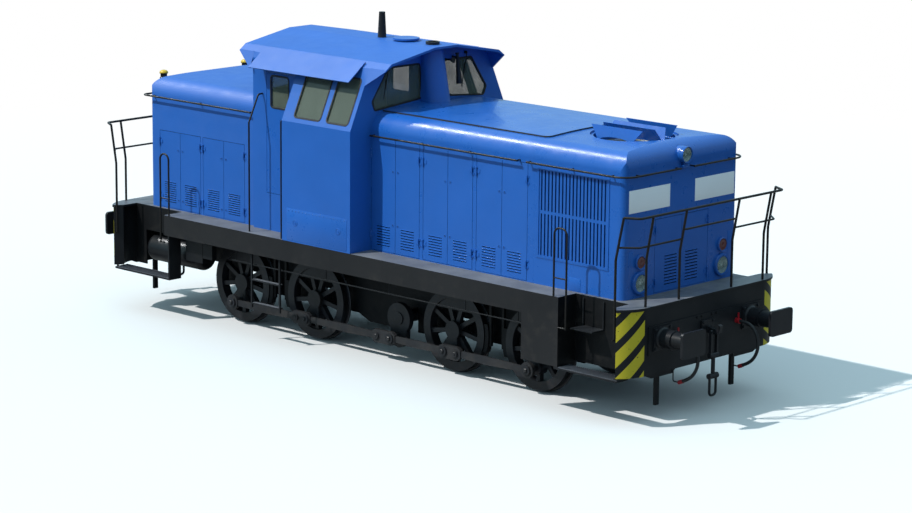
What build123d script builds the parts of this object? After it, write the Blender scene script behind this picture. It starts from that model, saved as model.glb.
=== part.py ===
from build123d import *
import os
from math import atan2, cos, degrees, hypot, radians, sin, sqrt

# Four-axle, rod-coupled diesel-hydraulic shunting locomotive, full size, in millimetres.
# Drawing datum: X = 0 at the middle of the length over buffers, with the long hood
# towards +X; Y = 0 on the centre line, left side at -Y; Z = 0 on the rail head.
# Exported nodes are lifted by the flange height, so the flanges touch Z = 0.

os.makedirs("parts", exist_ok=True)

# ---- driving dimensions -------------------------------------------------------------
FLANGE = 30                 # flange height below the tread
DECK_Z = 1491               # top of the running boards
SIDE_Y = 1512               # outer face of the side beams and of the cab
PLATE = 30                  # deck, hood and door panel thickness

# wheels and rods
WHEEL_R = 550
AXLE_X = (-2800, -1315, 1316, 2801)
JACKSHAFT_X = 324
BACK_TO_BACK = 1360
TYRE_WIDTH = 135
TYRE_DEPTH = 75
RIM_DEPTH = 45
HUB_R = 125
HUB_STEP = 20               # hub proud of the wheel's back
AXLE_R = 85
SPOKES = 9
CRANK_THROW = 250
CRANK_ANGLE = {-1: -90, 1: 0}            # crank position per side, 90 degrees apart
PIN_R = 45
JACK_DISC_R = 210           # crank disc of the jackshaft
ROD_Y = 985                 # middle plane of the side rods
ROD_T = 56

# deck and headstocks
BEAM_BOTTOM = 1202          # lower edge of the side beams
BOARD_X = (-3664, 3765)     # ends of the running boards
RECESS_Y = 1178             # edge of the deck in the step recesses
HEAD_X = 4912               # face of the headstock
HEAD_FLAT_Y = 1160          # where the headstock starts to curve back
HEAD_R = 483                # plan radius of the curved ends
HEAD_SWEEP = 50.5           # degrees of that curve
HEAD_T = 140
LIP = 16                    # overhang of the deck plate over the headstock
HEAD_BOTTOM = 620
BUFFER_X = 5440             # buffer faces
BUFFER_Y = 875
BUFFER_Z = 1065

# hoods
HOOD_Y = 1118               # half width of both hoods
HOOD_SHOULDER_Z = 3100      # where the sides start to round over
HOOD_SHOULDER_R = 240
HOOD_CROWN_Z = 3372
LONG_HOOD_X = (69, 4486)
SHORT_HOOD_X = (-4402, -2163)
CORNER_R = 90

# hood doors: first hinge, leaf width, leaf pairs, pitch of the pairs
# and the louvres' number, first height and pitch
LONG_DOORS = dict(first=76, leaf=446, pairs=3, pitch=955, z=(1506, 3020), louvres=(8, 1585, 36))
SHORT_DOORS = dict(first=-4185, leaf=432, pairs=2, pitch=910, z=(1506, 2600), louvres=(10, 1590, 31))
NOSE_DOORS = dict(half=524, z=(1506, 2440))
GAP = 6                     # clearance round a door leaf
HINGE_OUT = 14              # hinge axis outside the door face
HINGE_IN = 8                # hinge axis inside the edge of the opening
HINGE_R = 9

# cab
CAB_X = (-2163, 69)         # outer faces of the end walls
BAY_X = (-1242, 69)         # flush side bay with the two windows
KNEE_Z = 3130               # where the side walls start to lean in
EAVE_Y, EAVE_Z = 1145, 3933
RECESS_WALL_Y = 1180        # outer face of the wall with the cab door
WALL = 40
FLOOR_Z = 1990
ROOF_X = (-2462, 365)
ROOF_PROFILE = ((1041, 4009), (210, 4155))     # (y, z) of eave crease and crown edge
CAB_DOOR_X = (-1897, -1262)
CAB_DOOR_Z = (2010, 3690)


# ---- small makers -------------------------------------------------------------------
def block(x, y, z):
    """Box between two limits along each axis."""
    size = (x[1] - x[0], y[1] - y[0], z[1] - z[0])
    return Pos((x[0] + x[1]) / 2, (y[0] + y[1]) / 2, (z[0] + z[1]) / 2) * Box(*size)


def bar_x(r, x, y, z):
    return Pos((x[0] + x[1]) / 2, y, z) * Rot(0, 90, 0) * Cylinder(r, x[1] - x[0])


def bar_y(r, x, y, z):
    return Pos(x, (y[0] + y[1]) / 2, z) * Rot(90, 0, 0) * Cylinder(r, y[1] - y[0])


def bar_z(r, x, y, z):
    return Pos(x, y, (z[0] + z[1]) / 2) * Cylinder(r, z[1] - z[0])


def prism_x(points, x):
    """(y, z) outline extruded between two x limits."""
    outline = make_face(Polyline(*[(x[0], a, b) for a, b in points], close=True))
    return extrude(outline, amount=x[1] - x[0], dir=(1, 0, 0))


def prism_y(points, y):
    """(x, z) outline extruded between two y limits."""
    outline = make_face(Polyline(*[(a, y[0], b) for a, b in points], close=True))
    return extrude(outline, amount=y[1] - y[0], dir=(0, 1, 0))


def prism_z(points, z):
    """(x, y) outline extruded between two z limits."""
    outline = make_face(Polyline(*[(a, b, z[0]) for a, b in points], close=True))
    return extrude(outline, amount=z[1] - z[0], dir=(0, 0, 1))


def pipe(points, r, bend):
    """Round bar along straight runs with bent corners."""
    path = FilletPolyline(*points, radius=bend) if len(points) > 2 else Line(*points)
    return sweep(Plane(path @ 0, z_dir=path % 0) * Circle(r), path=path)


def mirrored(shape, plane=Plane.XZ):
    return mirror(shape, about=plane)


def both_sides(shapes):
    return list(shapes) + [mirrored(s) for s in shapes]


def both_ends(shapes):
    return list(shapes) + [mirrored(s, Plane.YZ) for s in shapes]


def fused(shapes):
    whole = shapes[0]
    for shape in shapes[1:]:
        whole = whole + shape
    return whole


def solids_of(shapes):
    found = []
    for shape in shapes:
        found += list(shape.solids())
    return found


NODES = {}


def node(name, *shapes):
    """Keep a node: one solid, or several that do not touch."""
    lifted = [Pos(0, 0, FLANGE) * s for s in solids_of(shapes)]
    NODES[name] = lifted[0] if len(lifted) == 1 else Compound(children=lifted)


# ---- wheelsets ----------------------------------------------------------------------
def wheel(side, crank):
    """One spoked wheel with its flange, hub, crank boss and pin, on the axis X = Z = 0."""
    inner = BACK_TO_BACK / 2
    outer = inner + TYRE_WIDTH
    ring_r = WHEEL_R - TYRE_DEPTH - RIM_DEPTH
    tyre = bar_y(WHEEL_R, 0, (inner, outer), 0)
    flange = bar_y(WHEEL_R + FLANGE, 0, (inner, inner + 32), 0)
    flange = chamfer(flange.edges().filter_by(GeomType.CIRCLE), 9)
    rim = (tyre + flange) - bar_y(ring_r, 0, (inner - 1, outer + 1), 0)
    hub = bar_y(HUB_R, 0, (inner - HUB_STEP, outer + 30), 0)
    pin_x = CRANK_THROW * cos(radians(crank))
    pin_z = CRANK_THROW * sin(radians(crank))
    web = bar_y(95, pin_x, (inner + 25, outer + 30), pin_z)
    arm = Rot(0, -crank, 0) * block((0, CRANK_THROW), (-85, 85), (inner + 30, outer + 25)).rotate(
        Axis.X, 90)
    parts = [rim, hub, web]
    arm = Rot(0, -crank, 0) * block((0, CRANK_THROW), (inner + 30, outer + 25), (-85, 85))
    parts.append(arm)
    for k in range(SPOKES):
        turn = crank + 360 * k / SPOKES
        spoke = block((HUB_R - 10, ring_r + 10), (inner + 35, outer - 30), (-30, 30))
        parts.append(Rot(0, -turn, 0) * spoke)
    weight_turn = crank + 180
    weight = bar_y(ring_r + 5, 0, (inner + 40, outer - 20), 0)
    keep = Rot(0, -weight_turn, 0) * block((270, 520), (inner, outer), (-330, 330))
    parts.append(weight & keep)
    pin = bar_y(PIN_R, pin_x, (outer, ROD_Y + ROD_T / 2 + 12), pin_z)
    cap = bar_y(PIN_R + 22, pin_x, (ROD_Y + ROD_T / 2 + 3, ROD_Y + ROD_T / 2 + 22), pin_z)
    parts += [pin, cap]
    whole = fused(parts)
    return whole if side > 0 else mirrored(whole)


def wheelset(x):
    """Axle and its two wheels, with a fine joint at each hub."""
    reach = BACK_TO_BACK / 2 - HUB_STEP - 0.3
    axle = bar_y(AXLE_R, 0, (-reach, reach), 0)
    return [Pos(x, 0, WHEEL_R) * s for s in (axle, wheel(1, CRANK_ANGLE[1]), wheel(-1, CRANK_ANGLE[-1]))]


def jackshaft():
    """Blind shaft of the gearbox with a broad crank on each side."""
    parts = [bar_y(AXLE_R, 0, (-860, 860), 0)]
    for side in (-1, 1):
        turn = CRANK_ANGLE[side]
        x, z = CRANK_THROW * cos(radians(turn)), CRANK_THROW * sin(radians(turn))
        y = sorted((side * 770, side * 845))
        pin_y = sorted((side * 840, side * (ROD_Y + ROD_T / 2 + 12)))
        cap_y = sorted((side * (ROD_Y + ROD_T / 2 + 3), side * (ROD_Y + ROD_T / 2 + 22)))
        parts.append(bar_y(JACK_DISC_R, 0, y, 0))
        parts.append(bar_y(150, x, y, z))
        parts.append(Rot(0, -turn, 0) * block((0, CRANK_THROW), y, (-150, 150)))
        parts.append(bar_y(PIN_R, x, pin_y, z))
        parts.append(bar_y(PIN_R + 22, x, cap_y, z))
    return Pos(JACKSHAFT_X, 0, WHEEL_R) * fused(parts)


def side_rods(side):
    """Coupling rods of one side as one solid, with an eye round each crank pin."""
    dx = CRANK_THROW * cos(radians(CRANK_ANGLE[side]))
    z = WHEEL_R + CRANK_THROW * sin(radians(CRANK_ANGLE[side]))
    y = sorted((side * (ROD_Y - ROD_T / 2), side * (ROD_Y + ROD_T / 2)))
    thin_y = sorted((side * (ROD_Y - 15), side * (ROD_Y + 15)))
    pins = sorted(AXLE_X + (JACKSHAFT_X,))
    knuckles = (AXLE_X[1] - 182, JACKSHAFT_X - 252, AXLE_X[2] + 217)
    parts = []
    for a, b in zip(pins[:-1], pins[1:]):
        middle = (a + b) / 2
        outline = ((a, z - 38), (middle, z - 62), (b, z - 38), (b, z + 38), (middle, z + 50), (a, z + 38))
        parts.append(prism_y([(x + dx, h) for x, h in outline], thin_y))
    for x in (AXLE_X[0], AXLE_X[3]):
        parts.append(bar_y(105, x + dx, y, z))
    for a, b in ((knuckles[0], AXLE_X[1]), (knuckles[1], JACKSHAFT_X), (AXLE_X[2], knuckles[2])):
        outline = ((a - 90, z - 50), (a - 40, z - 95), (b + 40, z - 95), (b + 90, z - 50),
                   (b + 90, z + 50), (b + 40, z + 85), (a - 40, z + 85), (a - 90, z + 50))
        parts.append(prism_y([(x + dx, h) for x, h in outline], y))
    pin_y = sorted((side * (ROD_Y + ROD_T / 2), side * (ROD_Y + ROD_T / 2 + 22)))
    for x in knuckles:
        parts.append(bar_y(48, x + dx, pin_y, z))
    rods = fused(parts)
    bore_y = (side * ROD_Y - 60, side * ROD_Y + 60)
    for x in pins:
        rods = rods - bar_y(PIN_R + 1, x + dx, bore_y, z)
    return rods


# ---- chassis ------------------------------------------------------------------------
FRAME_Y = (545, 580)
FRAME_X = HEAD_X - HEAD_T


def main_frame():
    """The two frame plates inside the wheels."""
    outline = [(-FRAME_X, 700), (-3500, 700), (-3400, 420), (-700, 420), (-500, 330), (700, 330),
               (900, 420), (3400, 420), (3500, 700), (FRAME_X, 700), (FRAME_X, DECK_Z - PLATE),
               (-FRAME_X, DECK_Z - PLATE)]
    plate = prism_y(outline, FRAME_Y)
    for x in AXLE_X:
        plate = plate - block((x - 110, x + 110), (500, 620), (300, WHEEL_R + 120))
    plate = plate - block((JACKSHAFT_X - 110, JACKSHAFT_X + 110), (500, 620), (300, WHEEL_R + 120))
    return [plate, mirrored(plate)]


OUTRIGGER_X = (BOARD_X[0] + 60, -2280, -500, 700, 2080, BOARD_X[1] - 60)


def frame_members():
    """Cross members between the frame plates, outriggers under the boards, and the rail guards."""
    members = [block((x - 40, x + 40), (-FRAME_Y[0], FRAME_Y[0]), (820, DECK_Z - PLATE))
               for x in (-4400, -3500, -2050, -700, 700, 2050, 3500, 4400)]
    for side in (-1, 1):
        for x in OUTRIGGER_X:
            y = sorted((side * FRAME_Y[1], side * (SIDE_Y - 25)))
            members.append(block((x - 20, x + 20), y, (BEAM_BOTTOM + 20, DECK_Z - PLATE)))
        for end in (-1, 1):
            x = sorted((end * (FRAME_X - 45), end * (FRAME_X - 5)))
            members.append(block(x, (side * 750 - 35, side * 750 + 35), (155, 1200))
                           + block(x, sorted((side * FRAME_Y[1], side * 750)), (1000, 1200)))
    return members


def deck():
    """Running boards with their side beams, front skirts and the walls of the step recesses."""
    outline = [(BOARD_X[0], -SIDE_Y), (BOARD_X[1], -SIDE_Y), (BOARD_X[1], -RECESS_Y), (DECK_END, -RECESS_Y),
               (DECK_END, RECESS_Y), (BOARD_X[1], RECESS_Y), (BOARD_X[1], SIDE_Y), (BOARD_X[0], SIDE_Y),
               (BOARD_X[0], RECESS_Y), (-DECK_END, RECESS_Y), (-DECK_END, -RECESS_Y),
               (BOARD_X[0], -RECESS_Y)]
    parts = [prism_z(outline, (DECK_Z - PLATE, DECK_Z))]
    top = DECK_Z - 1
    for side in (-1, 1):
        y = sorted((side * (SIDE_Y - 22), side * SIDE_Y))
        wall_y = sorted((side * (RECESS_Y - 20), side * RECESS_Y))
        return_y = sorted((side * (RECESS_Y - 20), side * (SIDE_Y - 1)))
        parts.append(block(BOARD_X, y, (BEAM_BOTTOM, top)))
        parts.append(block((SKIRT_X, BOARD_X[1]), y, (SKIRT_BOTTOM, top)))
        parts.append(block((BOARD_X[1] - 22, BOARD_X[1]), return_y, (SKIRT_BOTTOM, top)))
        parts.append(block((BOARD_X[0], BOARD_X[0] + 22), return_y, (BEAM_BOTTOM, top)))
        parts.append(block((BOARD_X[1] - 22, DECK_END), wall_y, (SKIRT_BOTTOM + 30, top)))
        parts.append(block((-DECK_END, -4434), wall_y, (SKIRT_BOTTOM + 30, top)))
        parts.append(block((-4440, BOARD_X[0] + 10), wall_y, (1130, top)))
    return fused(parts)


DECK_END = 4640             # where the deck meets the headstock platforms
SKIRT_X = 3150              # rear edge of the front skirt plates
SKIRT_BOTTOM = 597


def headstock_arc(inset):
    """Three plan points of the curved end of a headstock, on the +Y side."""
    r, cx = HEAD_R - inset, HEAD_X - HEAD_R
    return [(cx + r * cos(radians(a)), HEAD_FLAT_Y + r * sin(radians(a)))
            for a in (0, HEAD_SWEEP / 2, HEAD_SWEEP)]


def flip(p):
    return (p[0], -p[1])


def headstock():
    """Front headstock: curved beam, platform plate with its lip, raised plate, lower guards."""
    a, m, e = headstock_arc(0)
    ai, mi, ei = headstock_arc(HEAD_T)
    plan = make_face(Wire([Line(flip(a), a), ThreePointArc(a, m, e), Line(e, ei), ThreePointArc(ei, mi, ai),
                           Line(ai, flip(ai)), ThreePointArc(flip(ai), flip(mi), flip(ei)),
                           Line(flip(ei), flip(e)), ThreePointArc(flip(e), flip(m), flip(a))]))
    beam = extrude(Pos(0, 0, HEAD_BOTTOM) * plan, amount=DECK_Z - PLATE - HEAD_BOTTOM)
    a, m, e = headstock_arc(-LIP)
    back = [e, ei, (DECK_END, RECESS_Y), (DECK_END, -RECESS_Y), flip(ei), flip(e)]
    cover = make_face(Wire([Line(flip(a), a), ThreePointArc(a, m, e)] + list(Polyline(*back).edges())
                           + [ThreePointArc(flip(e), flip(m), flip(a))]))
    top = extrude(Pos(0, 0, DECK_Z - PLATE) * cover, amount=PLATE)
    panel = block((HEAD_X - 5, HEAD_X + 12), (-1128, 1128), (876, 1239))
    guards = []
    for side in (-1, 1):
        outline = [(side * y, z) for y, z in ((520, 640), (600, 560), (1010, 560), (1200, 640))]
        guards.append(prism_x(outline, (HEAD_X - 60, HEAD_X - 30)))
    return fused([beam, top, panel] + guards)


def buffer(side):
    y, z = side * BUFFER_Y, BUFFER_Z
    base = block((HEAD_X + 12, HEAD_X + 30), (y - 170, y + 170), (z - 150, z + 150))
    sleeve = bar_x(118, (HEAD_X + 25, HEAD_X + 230), y, z)
    plunger = bar_x(105, (HEAD_X + 220, BUFFER_X - 30), y, z)
    head = block((BUFFER_X - 38, BUFFER_X), (y - 225, y + 225), (z - 165, z + 165))
    head = fillet(head.edges().filter_by(Axis.X), 45)
    return fused([base, sleeve, plunger, head])


def drawhook():
    """Drawhook with the hanging screw coupling."""
    z = BUFFER_Z - 15
    hook = prism_y([(HEAD_X + 12, z - 45), (5080, z - 60), (5150, z - 30), (5165, z + 60), (5130, z + 75),
                    (5120, z + 15), (5060, z + 5), (HEAD_X + 12, z + 45)], (-30, 30))
    guide = block((HEAD_X + 12, HEAD_X + 40), (-120, 120), (z - 110, z + 110))
    pin = bar_y(26, 5045, (-75, 75), z - 28)
    links = [block((5025, 5065), (s - 14, s + 14), (z - 330, z - 10)) for s in (-58, 58)]
    nut = bar_y(34, 5045, (-80, 80), z - 330)
    screw = bar_z(26, 5045, 0, (z - 620, z - 320))
    lower = bar_y(36, 5045, (-85, 85), z - 600)
    shackle = pipe([(5045, -62, z - 600), (5045, -62, z - 850), (5045, 62, z - 850), (5045, 62, z - 600)], 17, 45)
    return fused([guide, hook, pin] + links + [nut, screw, lower, shackle])


def angle_cocks():
    """Brake pipe cocks at the headstock; the hoses of the long-hood end start here."""
    cocks = []
    for side in (-1, 1):
        y = side * HOSE_Y
        body = bar_x(34, (HEAD_X + 12, HEAD_X + 75), y, HOSE_TOP_Z)
        handle = block((HEAD_X + 40, HEAD_X + 56), (y - 9, y + 9), (HOSE_TOP_Z + 20, HOSE_TOP_Z + 105))
        cocks.append(body + handle)
    return cocks


# ---- brake hoses: points of the hanging hose in its own X-Z plane ---------------------
HOSE_Y = 600
HOSE_R = 22
HOSE_TOP_Z = 1050
HOSE_START_X = HEAD_X + 75
HOSE_ROUTE = ((0, 0), (128, 0), (238, -70), (298, -190), (298, -328), (240, -446), (152, -526), (62, -566))


def hose_points(side):
    return [(HOSE_START_X + dx, side * HOSE_Y, HOSE_TOP_Z + dz) for dx, dz in HOSE_ROUTE]


def tangent_radii(points):
    """Largest arcs that the runs on both sides of each corner allow."""
    radii = []
    for a, b, c in zip(points[:-2], points[1:-1], points[2:]):
        u, v = Vector(*b) - Vector(*a), Vector(*c) - Vector(*b)
        turn = radians(u.get_angle(v))
        radii.append(0.45 * min(u.length, v.length) / (sin(turn / 2) / cos(turn / 2)))
    return radii


def hose(side):
    points = hose_points(side)
    radii = tangent_radii(points)
    path = FilletPolyline(*points, radius=radii)
    tube = sweep(Plane(path @ 0, z_dir=path % 0) * Circle(HOSE_R), path=path)
    print("hose radii", [round(r) for r in radii], "length", round(path.length),
          "volume ratio", round(tube.volume / (3.14159265 * HOSE_R ** 2 * path.length), 4))
    return tube


def hose_fitting(side):
    """Coupling head at the end of a hose, held by a bent rod under the headstock."""
    a, b = hose_points(side)[-2:]
    start = Vector(*b)
    end = start + (Vector(*b) - Vector(*a)).normalized() * 70
    head = pipe([start, end], 26, 0)
    holder = pipe([(end.X + 12, end.Y, end.Z + 2), (HEAD_X - 20, end.Y, end.Z + 2),
                   (HEAD_X - 20, end.Y, HEAD_BOTTOM)], 9, 25)
    return head + holder


# ---- steps, tanks and brakes -----------------------------------------------------------
def steps():
    """Bottom steps in the four corner recesses, middle steps in front, and the cab ladders."""
    found = []
    for side in (-1, 1):
        tread_y = sorted((side * 1290, side * SIDE_Y))
        front = block((BOARD_X[1] - 60, 4740), tread_y, (565, 590))
        front = front + block((BOARD_X[1] - 60, BOARD_X[1] - 1), tread_y, (580, SKIRT_BOTTOM))
        front = front + block((4690, 4720), sorted((side * 1480, side * 1500)), (580, HEAD_BOTTOM))
        rear = block((-4740, -3564), tread_y, (565, 590))
        rear = rear + block((-4740, -3564), sorted((side * 1290, side * 1304)), (565, 598))
        rear = rear + block((-3590, -3564), tread_y, (565, BEAM_BOTTOM))
        rear = rear + block((-4720, -4690), sorted((side * 1480, side * 1500)), (580, HEAD_BOTTOM))
        shelf = block((3895, 4250), sorted((side * RECESS_Y, side * 1420)), (1092, 1106))
        for x in (3905, 4240):
            shelf = shelf + bar_z(10, x, side * 1192, (1100, DECK_Z - PLATE - 5))
        ladder = [block((x - 12, x + 12), sorted((side * 1440, side * 1465)), (440, BEAM_BOTTOM))
                  for x in (-1910, -1353)]
        ladder += [block((x - 12, x + 12), sorted((side * 1440, side * (SIDE_Y - 22))),
                         (BEAM_BOTTOM - 14, BEAM_BOTTOM)) for x in (-1910, -1353)]
        ladder += [block((-1910, -1353), sorted((side * 1400, side * 1465)), (z - 10, z + 10))
                   for z in (830, 500)]
        found += [front, rear, shelf, fused(ladder)]
    return found


def air_reservoirs():
    """Air reservoirs behind the rear steps, the equipment boxes beside them and the long air pipes."""
    found = []
    for side in (-1, 1):
        tank = bar_x(195, (-4370, -3250), side * 1060, 880)
        tank = fillet(tank.edges().filter_by(GeomType.CIRCLE), 75)
        straps = [block((x - 25, x + 25), sorted((side * 1030, side * 1090)), (1060, DECK_Z - PLATE))
                  for x in (-4150, -3470)]
        found.append(fused([tank] + straps))
        found.append(fused([block((-3390, -3040), sorted((side * 1275, side * 1350)), (863, 1160)),
                            block((-3230, -3200), sorted((side * 1300, side * 1320)), (1155, DECK_Z - PLATE))]))
        found.append(fused([block((-3032, -2840), sorted((side * 1265, side * 1350)), (940, 1146)),
                            block((-2950, -2920), sorted((side * 1300, side * 1320)), (1140, DECK_Z - PLATE))]))
        y = side * PIPE_Y
        hangers = [bar_z(7, x, y, (PIPE_Z, BEAM_BOTTOM + 20)) for x in OUTRIGGER_X[1:5]]
        hangers.append(bar_z(7, 3000, y, (PIPE_Z, DECK_Z - PLATE)))
        found.append(fused([bar_x(9, (-2367, 3145), y, PIPE_Z)] + hangers))
    return found


PIPE_Y, PIPE_Z = 1400, 1030  # air pipe along the chassis


def brake_gear():
    """Brake blocks with their hangers, one on each wheel."""
    found = []
    for side in (-1, 1):
        for x, towards in zip(AXLE_X, (1, -1, 1, -1)):
            ring = bar_y(WHEEL_R + 70, 0, (side * 765 - 40, side * 765 + 40), 0)
            ring = ring - bar_y(WHEEL_R + 9, 0, (side * 765 - 50, side * 765 + 50), 0)
            shoe = ring & block((400, 700), (side * 765 - 50, side * 765 + 50), (-210, 170))
            hanger = block((WHEEL_R + 62, WHEEL_R + 100), (side * 765 - 20, side * 765 + 20),
                           (-120, BEAM_BOTTOM - WHEEL_R + 40))
            whole = shoe + hanger + block((WHEEL_R + 30, WHEEL_R + 80), (side * 765 - 20, side * 765 + 20),
                                          (-60, 60))
            foot = block((WHEEL_R + 62, WHEEL_R + 100), sorted((side * FRAME_Y[1], side * 785)),
                         (BEAM_BOTTOM - WHEEL_R, BEAM_BOTTOM - WHEEL_R + 40))
            whole = whole + foot
            if towards < 0:
                whole = mirrored(whole, Plane.YZ)
            found.append(Pos(x, 0, WHEEL_R) * whole)
    return found


# ---- handrails --------------------------------------------------------------------------
RAIL_R = 16


def end_railing():
    """Railing on the headstock: posts that lean out above a bend, top and middle rails."""
    foot_x, lean_x = 4890, 4990
    bend_z, top_z = DECK_Z + 610, DECK_Z + 1150
    parts = []
    for y in (-1163, -521, 521, 1163):
        parts.append(pipe([(foot_x, y, DECK_Z), (foot_x, y, bend_z), (lean_x, y, top_z)], RAIL_R, 200))
    for side in (-1, 1):
        corner = [(4690, side * 1508, DECK_Z - 405), (4690, side * 1508, bend_z), (4800, side * 1500, top_z)]
        parts.append(pipe(corner, RAIL_R, 200))
        parts.append(bar_y(10, 4690, sorted((side * 1494, side * 1550)), DECK_Z - 395))
    parts.append(pipe([(4800, -1500, top_z), (lean_x, -1400, top_z), (lean_x, 1400, top_z), (4800, 1500, top_z)],
                      RAIL_R, 60))
    mid_z = bend_z + 160
    mid_x = foot_x + 30
    for side in (-1, 1):
        parts.append(pipe([(4723, side * 1505, mid_z), (mid_x, side * 1330, mid_z), (mid_x, side * 521, mid_z)],
                          RAIL_R - 3, 60))
    parts.append(pipe([(foot_x + 50, -521, mid_z + 120), (foot_x + 50, 521, mid_z + 120)], RAIL_R - 3, 0))
    return fused(parts)


def loop_handrail(x, inner_x, outer_x, side):
    """Loop on the end of a running board; its outer leg runs down beside the recess."""
    y = side * 1504
    low = DECK_Z - 400
    parts = [pipe([(inner_x, y, DECK_Z), (inner_x, y, DECK_Z + 875), (outer_x, y, DECK_Z + 875),
                   (outer_x, y, low)], RAIL_R - 3, 85),
             bar_x(9, sorted((inner_x, outer_x)), y, DECK_Z + 240),
             bar_x(10, sorted((x, outer_x)), y, low + 12)]
    return fused(parts)


def hood_rail(x, z, brackets, side, nose=None):
    """Handrail along a hood side; nose gives (x, end y, bend, bracket ys) of its run round the free end."""
    y = side * (HOOD_Y + 72)
    parts = [bar_y(10, b, sorted((side * HOOD_Y, y)), z) for b in brackets]
    if not nose:
        return fused([bar_x(13, x, y, z)] + parts)
    nose_x, end_y, bend, bracket_y = nose
    near = x[1] if abs(nose_x - x[1]) > abs(nose_x - x[0]) else x[0]
    face = LONG_HOOD_X[1] if nose_x > 0 else SHORT_HOOD_X[0]
    parts += [bar_x(10, sorted((face, nose_x)), side * b, z) for b in bracket_y]
    return fused([pipe([(near, y, z), (nose_x, y, z), (nose_x, side * end_y, z)], 13, bend)] + parts)


def cab_handrails(side):
    """Rail behind the cab door that leans in to the wall, and the rail at the corner of the bay."""
    rear = pipe([(-1970, side * 1440, DECK_Z), (-1970, side * 1440, 3004), (-1970, side * 1262, 3378),
                 (-1970, side * RECESS_WALL_Y, 3378)], 12, 40)
    front = pipe([(-1300, side * 1470, DECK_Z), (-1300, side * 1470, 3118), (BAY_X[0], side * 1470, 3118)], 12, 30)
    return [rear, front]


# ---- hoods ---------------------------------------------------------------------------------
def hood_section(inset):
    """Cross-section of a hood: vertical sides, round shoulders, slightly crowned top."""
    y = HOOD_Y - inset
    r = HOOD_SHOULDER_R - inset
    z = HOOD_SHOULDER_Z
    top = HOOD_CROWN_Z - inset
    low = DECK_Z
    turn = radians(87)
    cy = y - r
    shoulder = (cy + r * cos(turn), z + r * sin(turn))
    half_way = (cy + r * cos(turn / 2), z + r * sin(turn / 2))
    lines = [Line((0, -y, low), (0, -y, z)),
             ThreePointArc((0, -y, z), (0, -half_way[0], half_way[1]), (0, -shoulder[0], shoulder[1])),
             ThreePointArc((0, -shoulder[0], shoulder[1]), (0, 0, top), (0, shoulder[0], shoulder[1])),
             ThreePointArc((0, shoulder[0], shoulder[1]), (0, half_way[0], half_way[1]), (0, y, z)),
             Line((0, y, z), (0, y, low)),
             Line((0, y, low), (0, -y, low))]
    return make_face(Wire(lines))


def end_profile(length, inset):
    """Side elevation that rounds the free end of a hood over, at the same shoulder radius."""
    r = HOOD_SHOULDER_R - inset
    z = HOOD_SHOULDER_Z + 30
    x = length - inset
    top = HOOD_CROWN_Z + 40
    knee = (x - r + r * cos(radians(45)), -1300, z + r * sin(radians(45)))
    lines = [Line((-50, -1300, DECK_Z - 5), (x, -1300, DECK_Z - 5)),
             Line((x, -1300, DECK_Z - 5), (x, -1300, z)),
             ThreePointArc((x, -1300, z), knee, (x - r, -1300, z + r)),
             Line((x - r, -1300, z + r), (x - r - 400, -1300, top)),
             Line((x - r - 400, -1300, top), (-50, -1300, top)),
             Line((-50, -1300, top), (-50, -1300, DECK_Z - 5))]
    return make_face(Wire(lines))


def hood_solid(length, inset=0):
    """Solid of a hood from X = 0 to its free end at X = length."""
    past = length + 0.2     # the plan with its rounded corners trims the end last, so no faces meet tangentially
    body = extrude(hood_section(inset), amount=past - inset, dir=(1, 0, 0))
    body = body & extrude(end_profile(past, inset), amount=2600, dir=(0, 1, 0))
    plan = Pos((length - inset) / 2 - 500, 0, 2500) * Box(length - inset + 1000, 2 * (HOOD_Y - inset), 2400)
    corner = plan.edges().filter_by(Axis.Z).group_by(Axis.X)[-1]
    return body & fillet(corner, CORNER_R - inset * 0.8)


def long_hood():
    """Hollow long hood: two caps, four side walls and a nose, with door openings, grilles and lamp places."""
    length = LONG_HOOD_X[1] - LONG_HOOD_X[0]
    shell = hood_solid(length) - hood_solid(length, PLATE)
    shell = Pos(LONG_HOOD_X[0], 0, 0) * shell
    for x in door_pairs(LONG_DOORS):
        z = LONG_DOORS["z"]
        shell = shell - block((x, x + 2 * LONG_DOORS["leaf"]), (-1300, 1300), (z[0] - GAP, z[1] + GAP))
    nose_z = (NOSE_DOORS["z"][0] - GAP, NOSE_DOORS["z"][1] + GAP)
    shell = shell - block((LONG_HOOD_X[1] - 60, LONG_HOOD_X[1] + 60),
                          (-NOSE_DOORS["half"], NOSE_DOORS["half"]), nose_z)
    for side in (-1, 1):
        shell = shell - block(GRILLE_X, sorted((side * 1050, side * 1200)), GRILLE_Z)
    shell = shell - bar_z(FAN_R, FAN_X, 0, (3200, 3500)) - bar_x(TOP_LAMP_R, TOP_LAMP_X, 0, TOP_LAMP_Z)
    whole = fused([shell] + hood_hinges(LONG_DOORS) + nose_hinges(-1, False) + nose_hinges(1, False))
    low, high = (DECK_Z - 10, CAP_Z - 0.3), (CAP_Z, 3600)
    wide = (-1300, 1300)
    cuts = [((0, SECTION_X), wide, high), ((SECTION_X + 0.5, 4600), wide, high), ((NOSE_JOINT_X, 4600), wide, low)]
    for side in (-1, 1):
        wall = sorted((side * 500, side * 1300))
        cuts += [((0, SECTION_X), wall, low), ((SECTION_X + 0.5, NOSE_JOINT_X - 0.3), wall, low)]
    return [whole & block(*cut) for cut in cuts]


SECTION_X = 2990            # joint between the engine and radiator sections of the long hood
CAP_Z = 3062                # joint under the caps
NOSE_JOINT_X = 4390         # joint between the side walls and the nose
GRILLE_X = (3062, 4218)
GRILLE_Z = (1860, 2985)
GRILLE_BAR_Z = 2432
SLATS = 20
FAN_X, FAN_R = 3675, 565     # round opening in the hood top
TOP_LAMP_X = (4380, 4558)    # top headlamp of the long hood, half sunk into its edge
TOP_LAMP_R = 108
TOP_LAMP_Z = 3209


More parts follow.
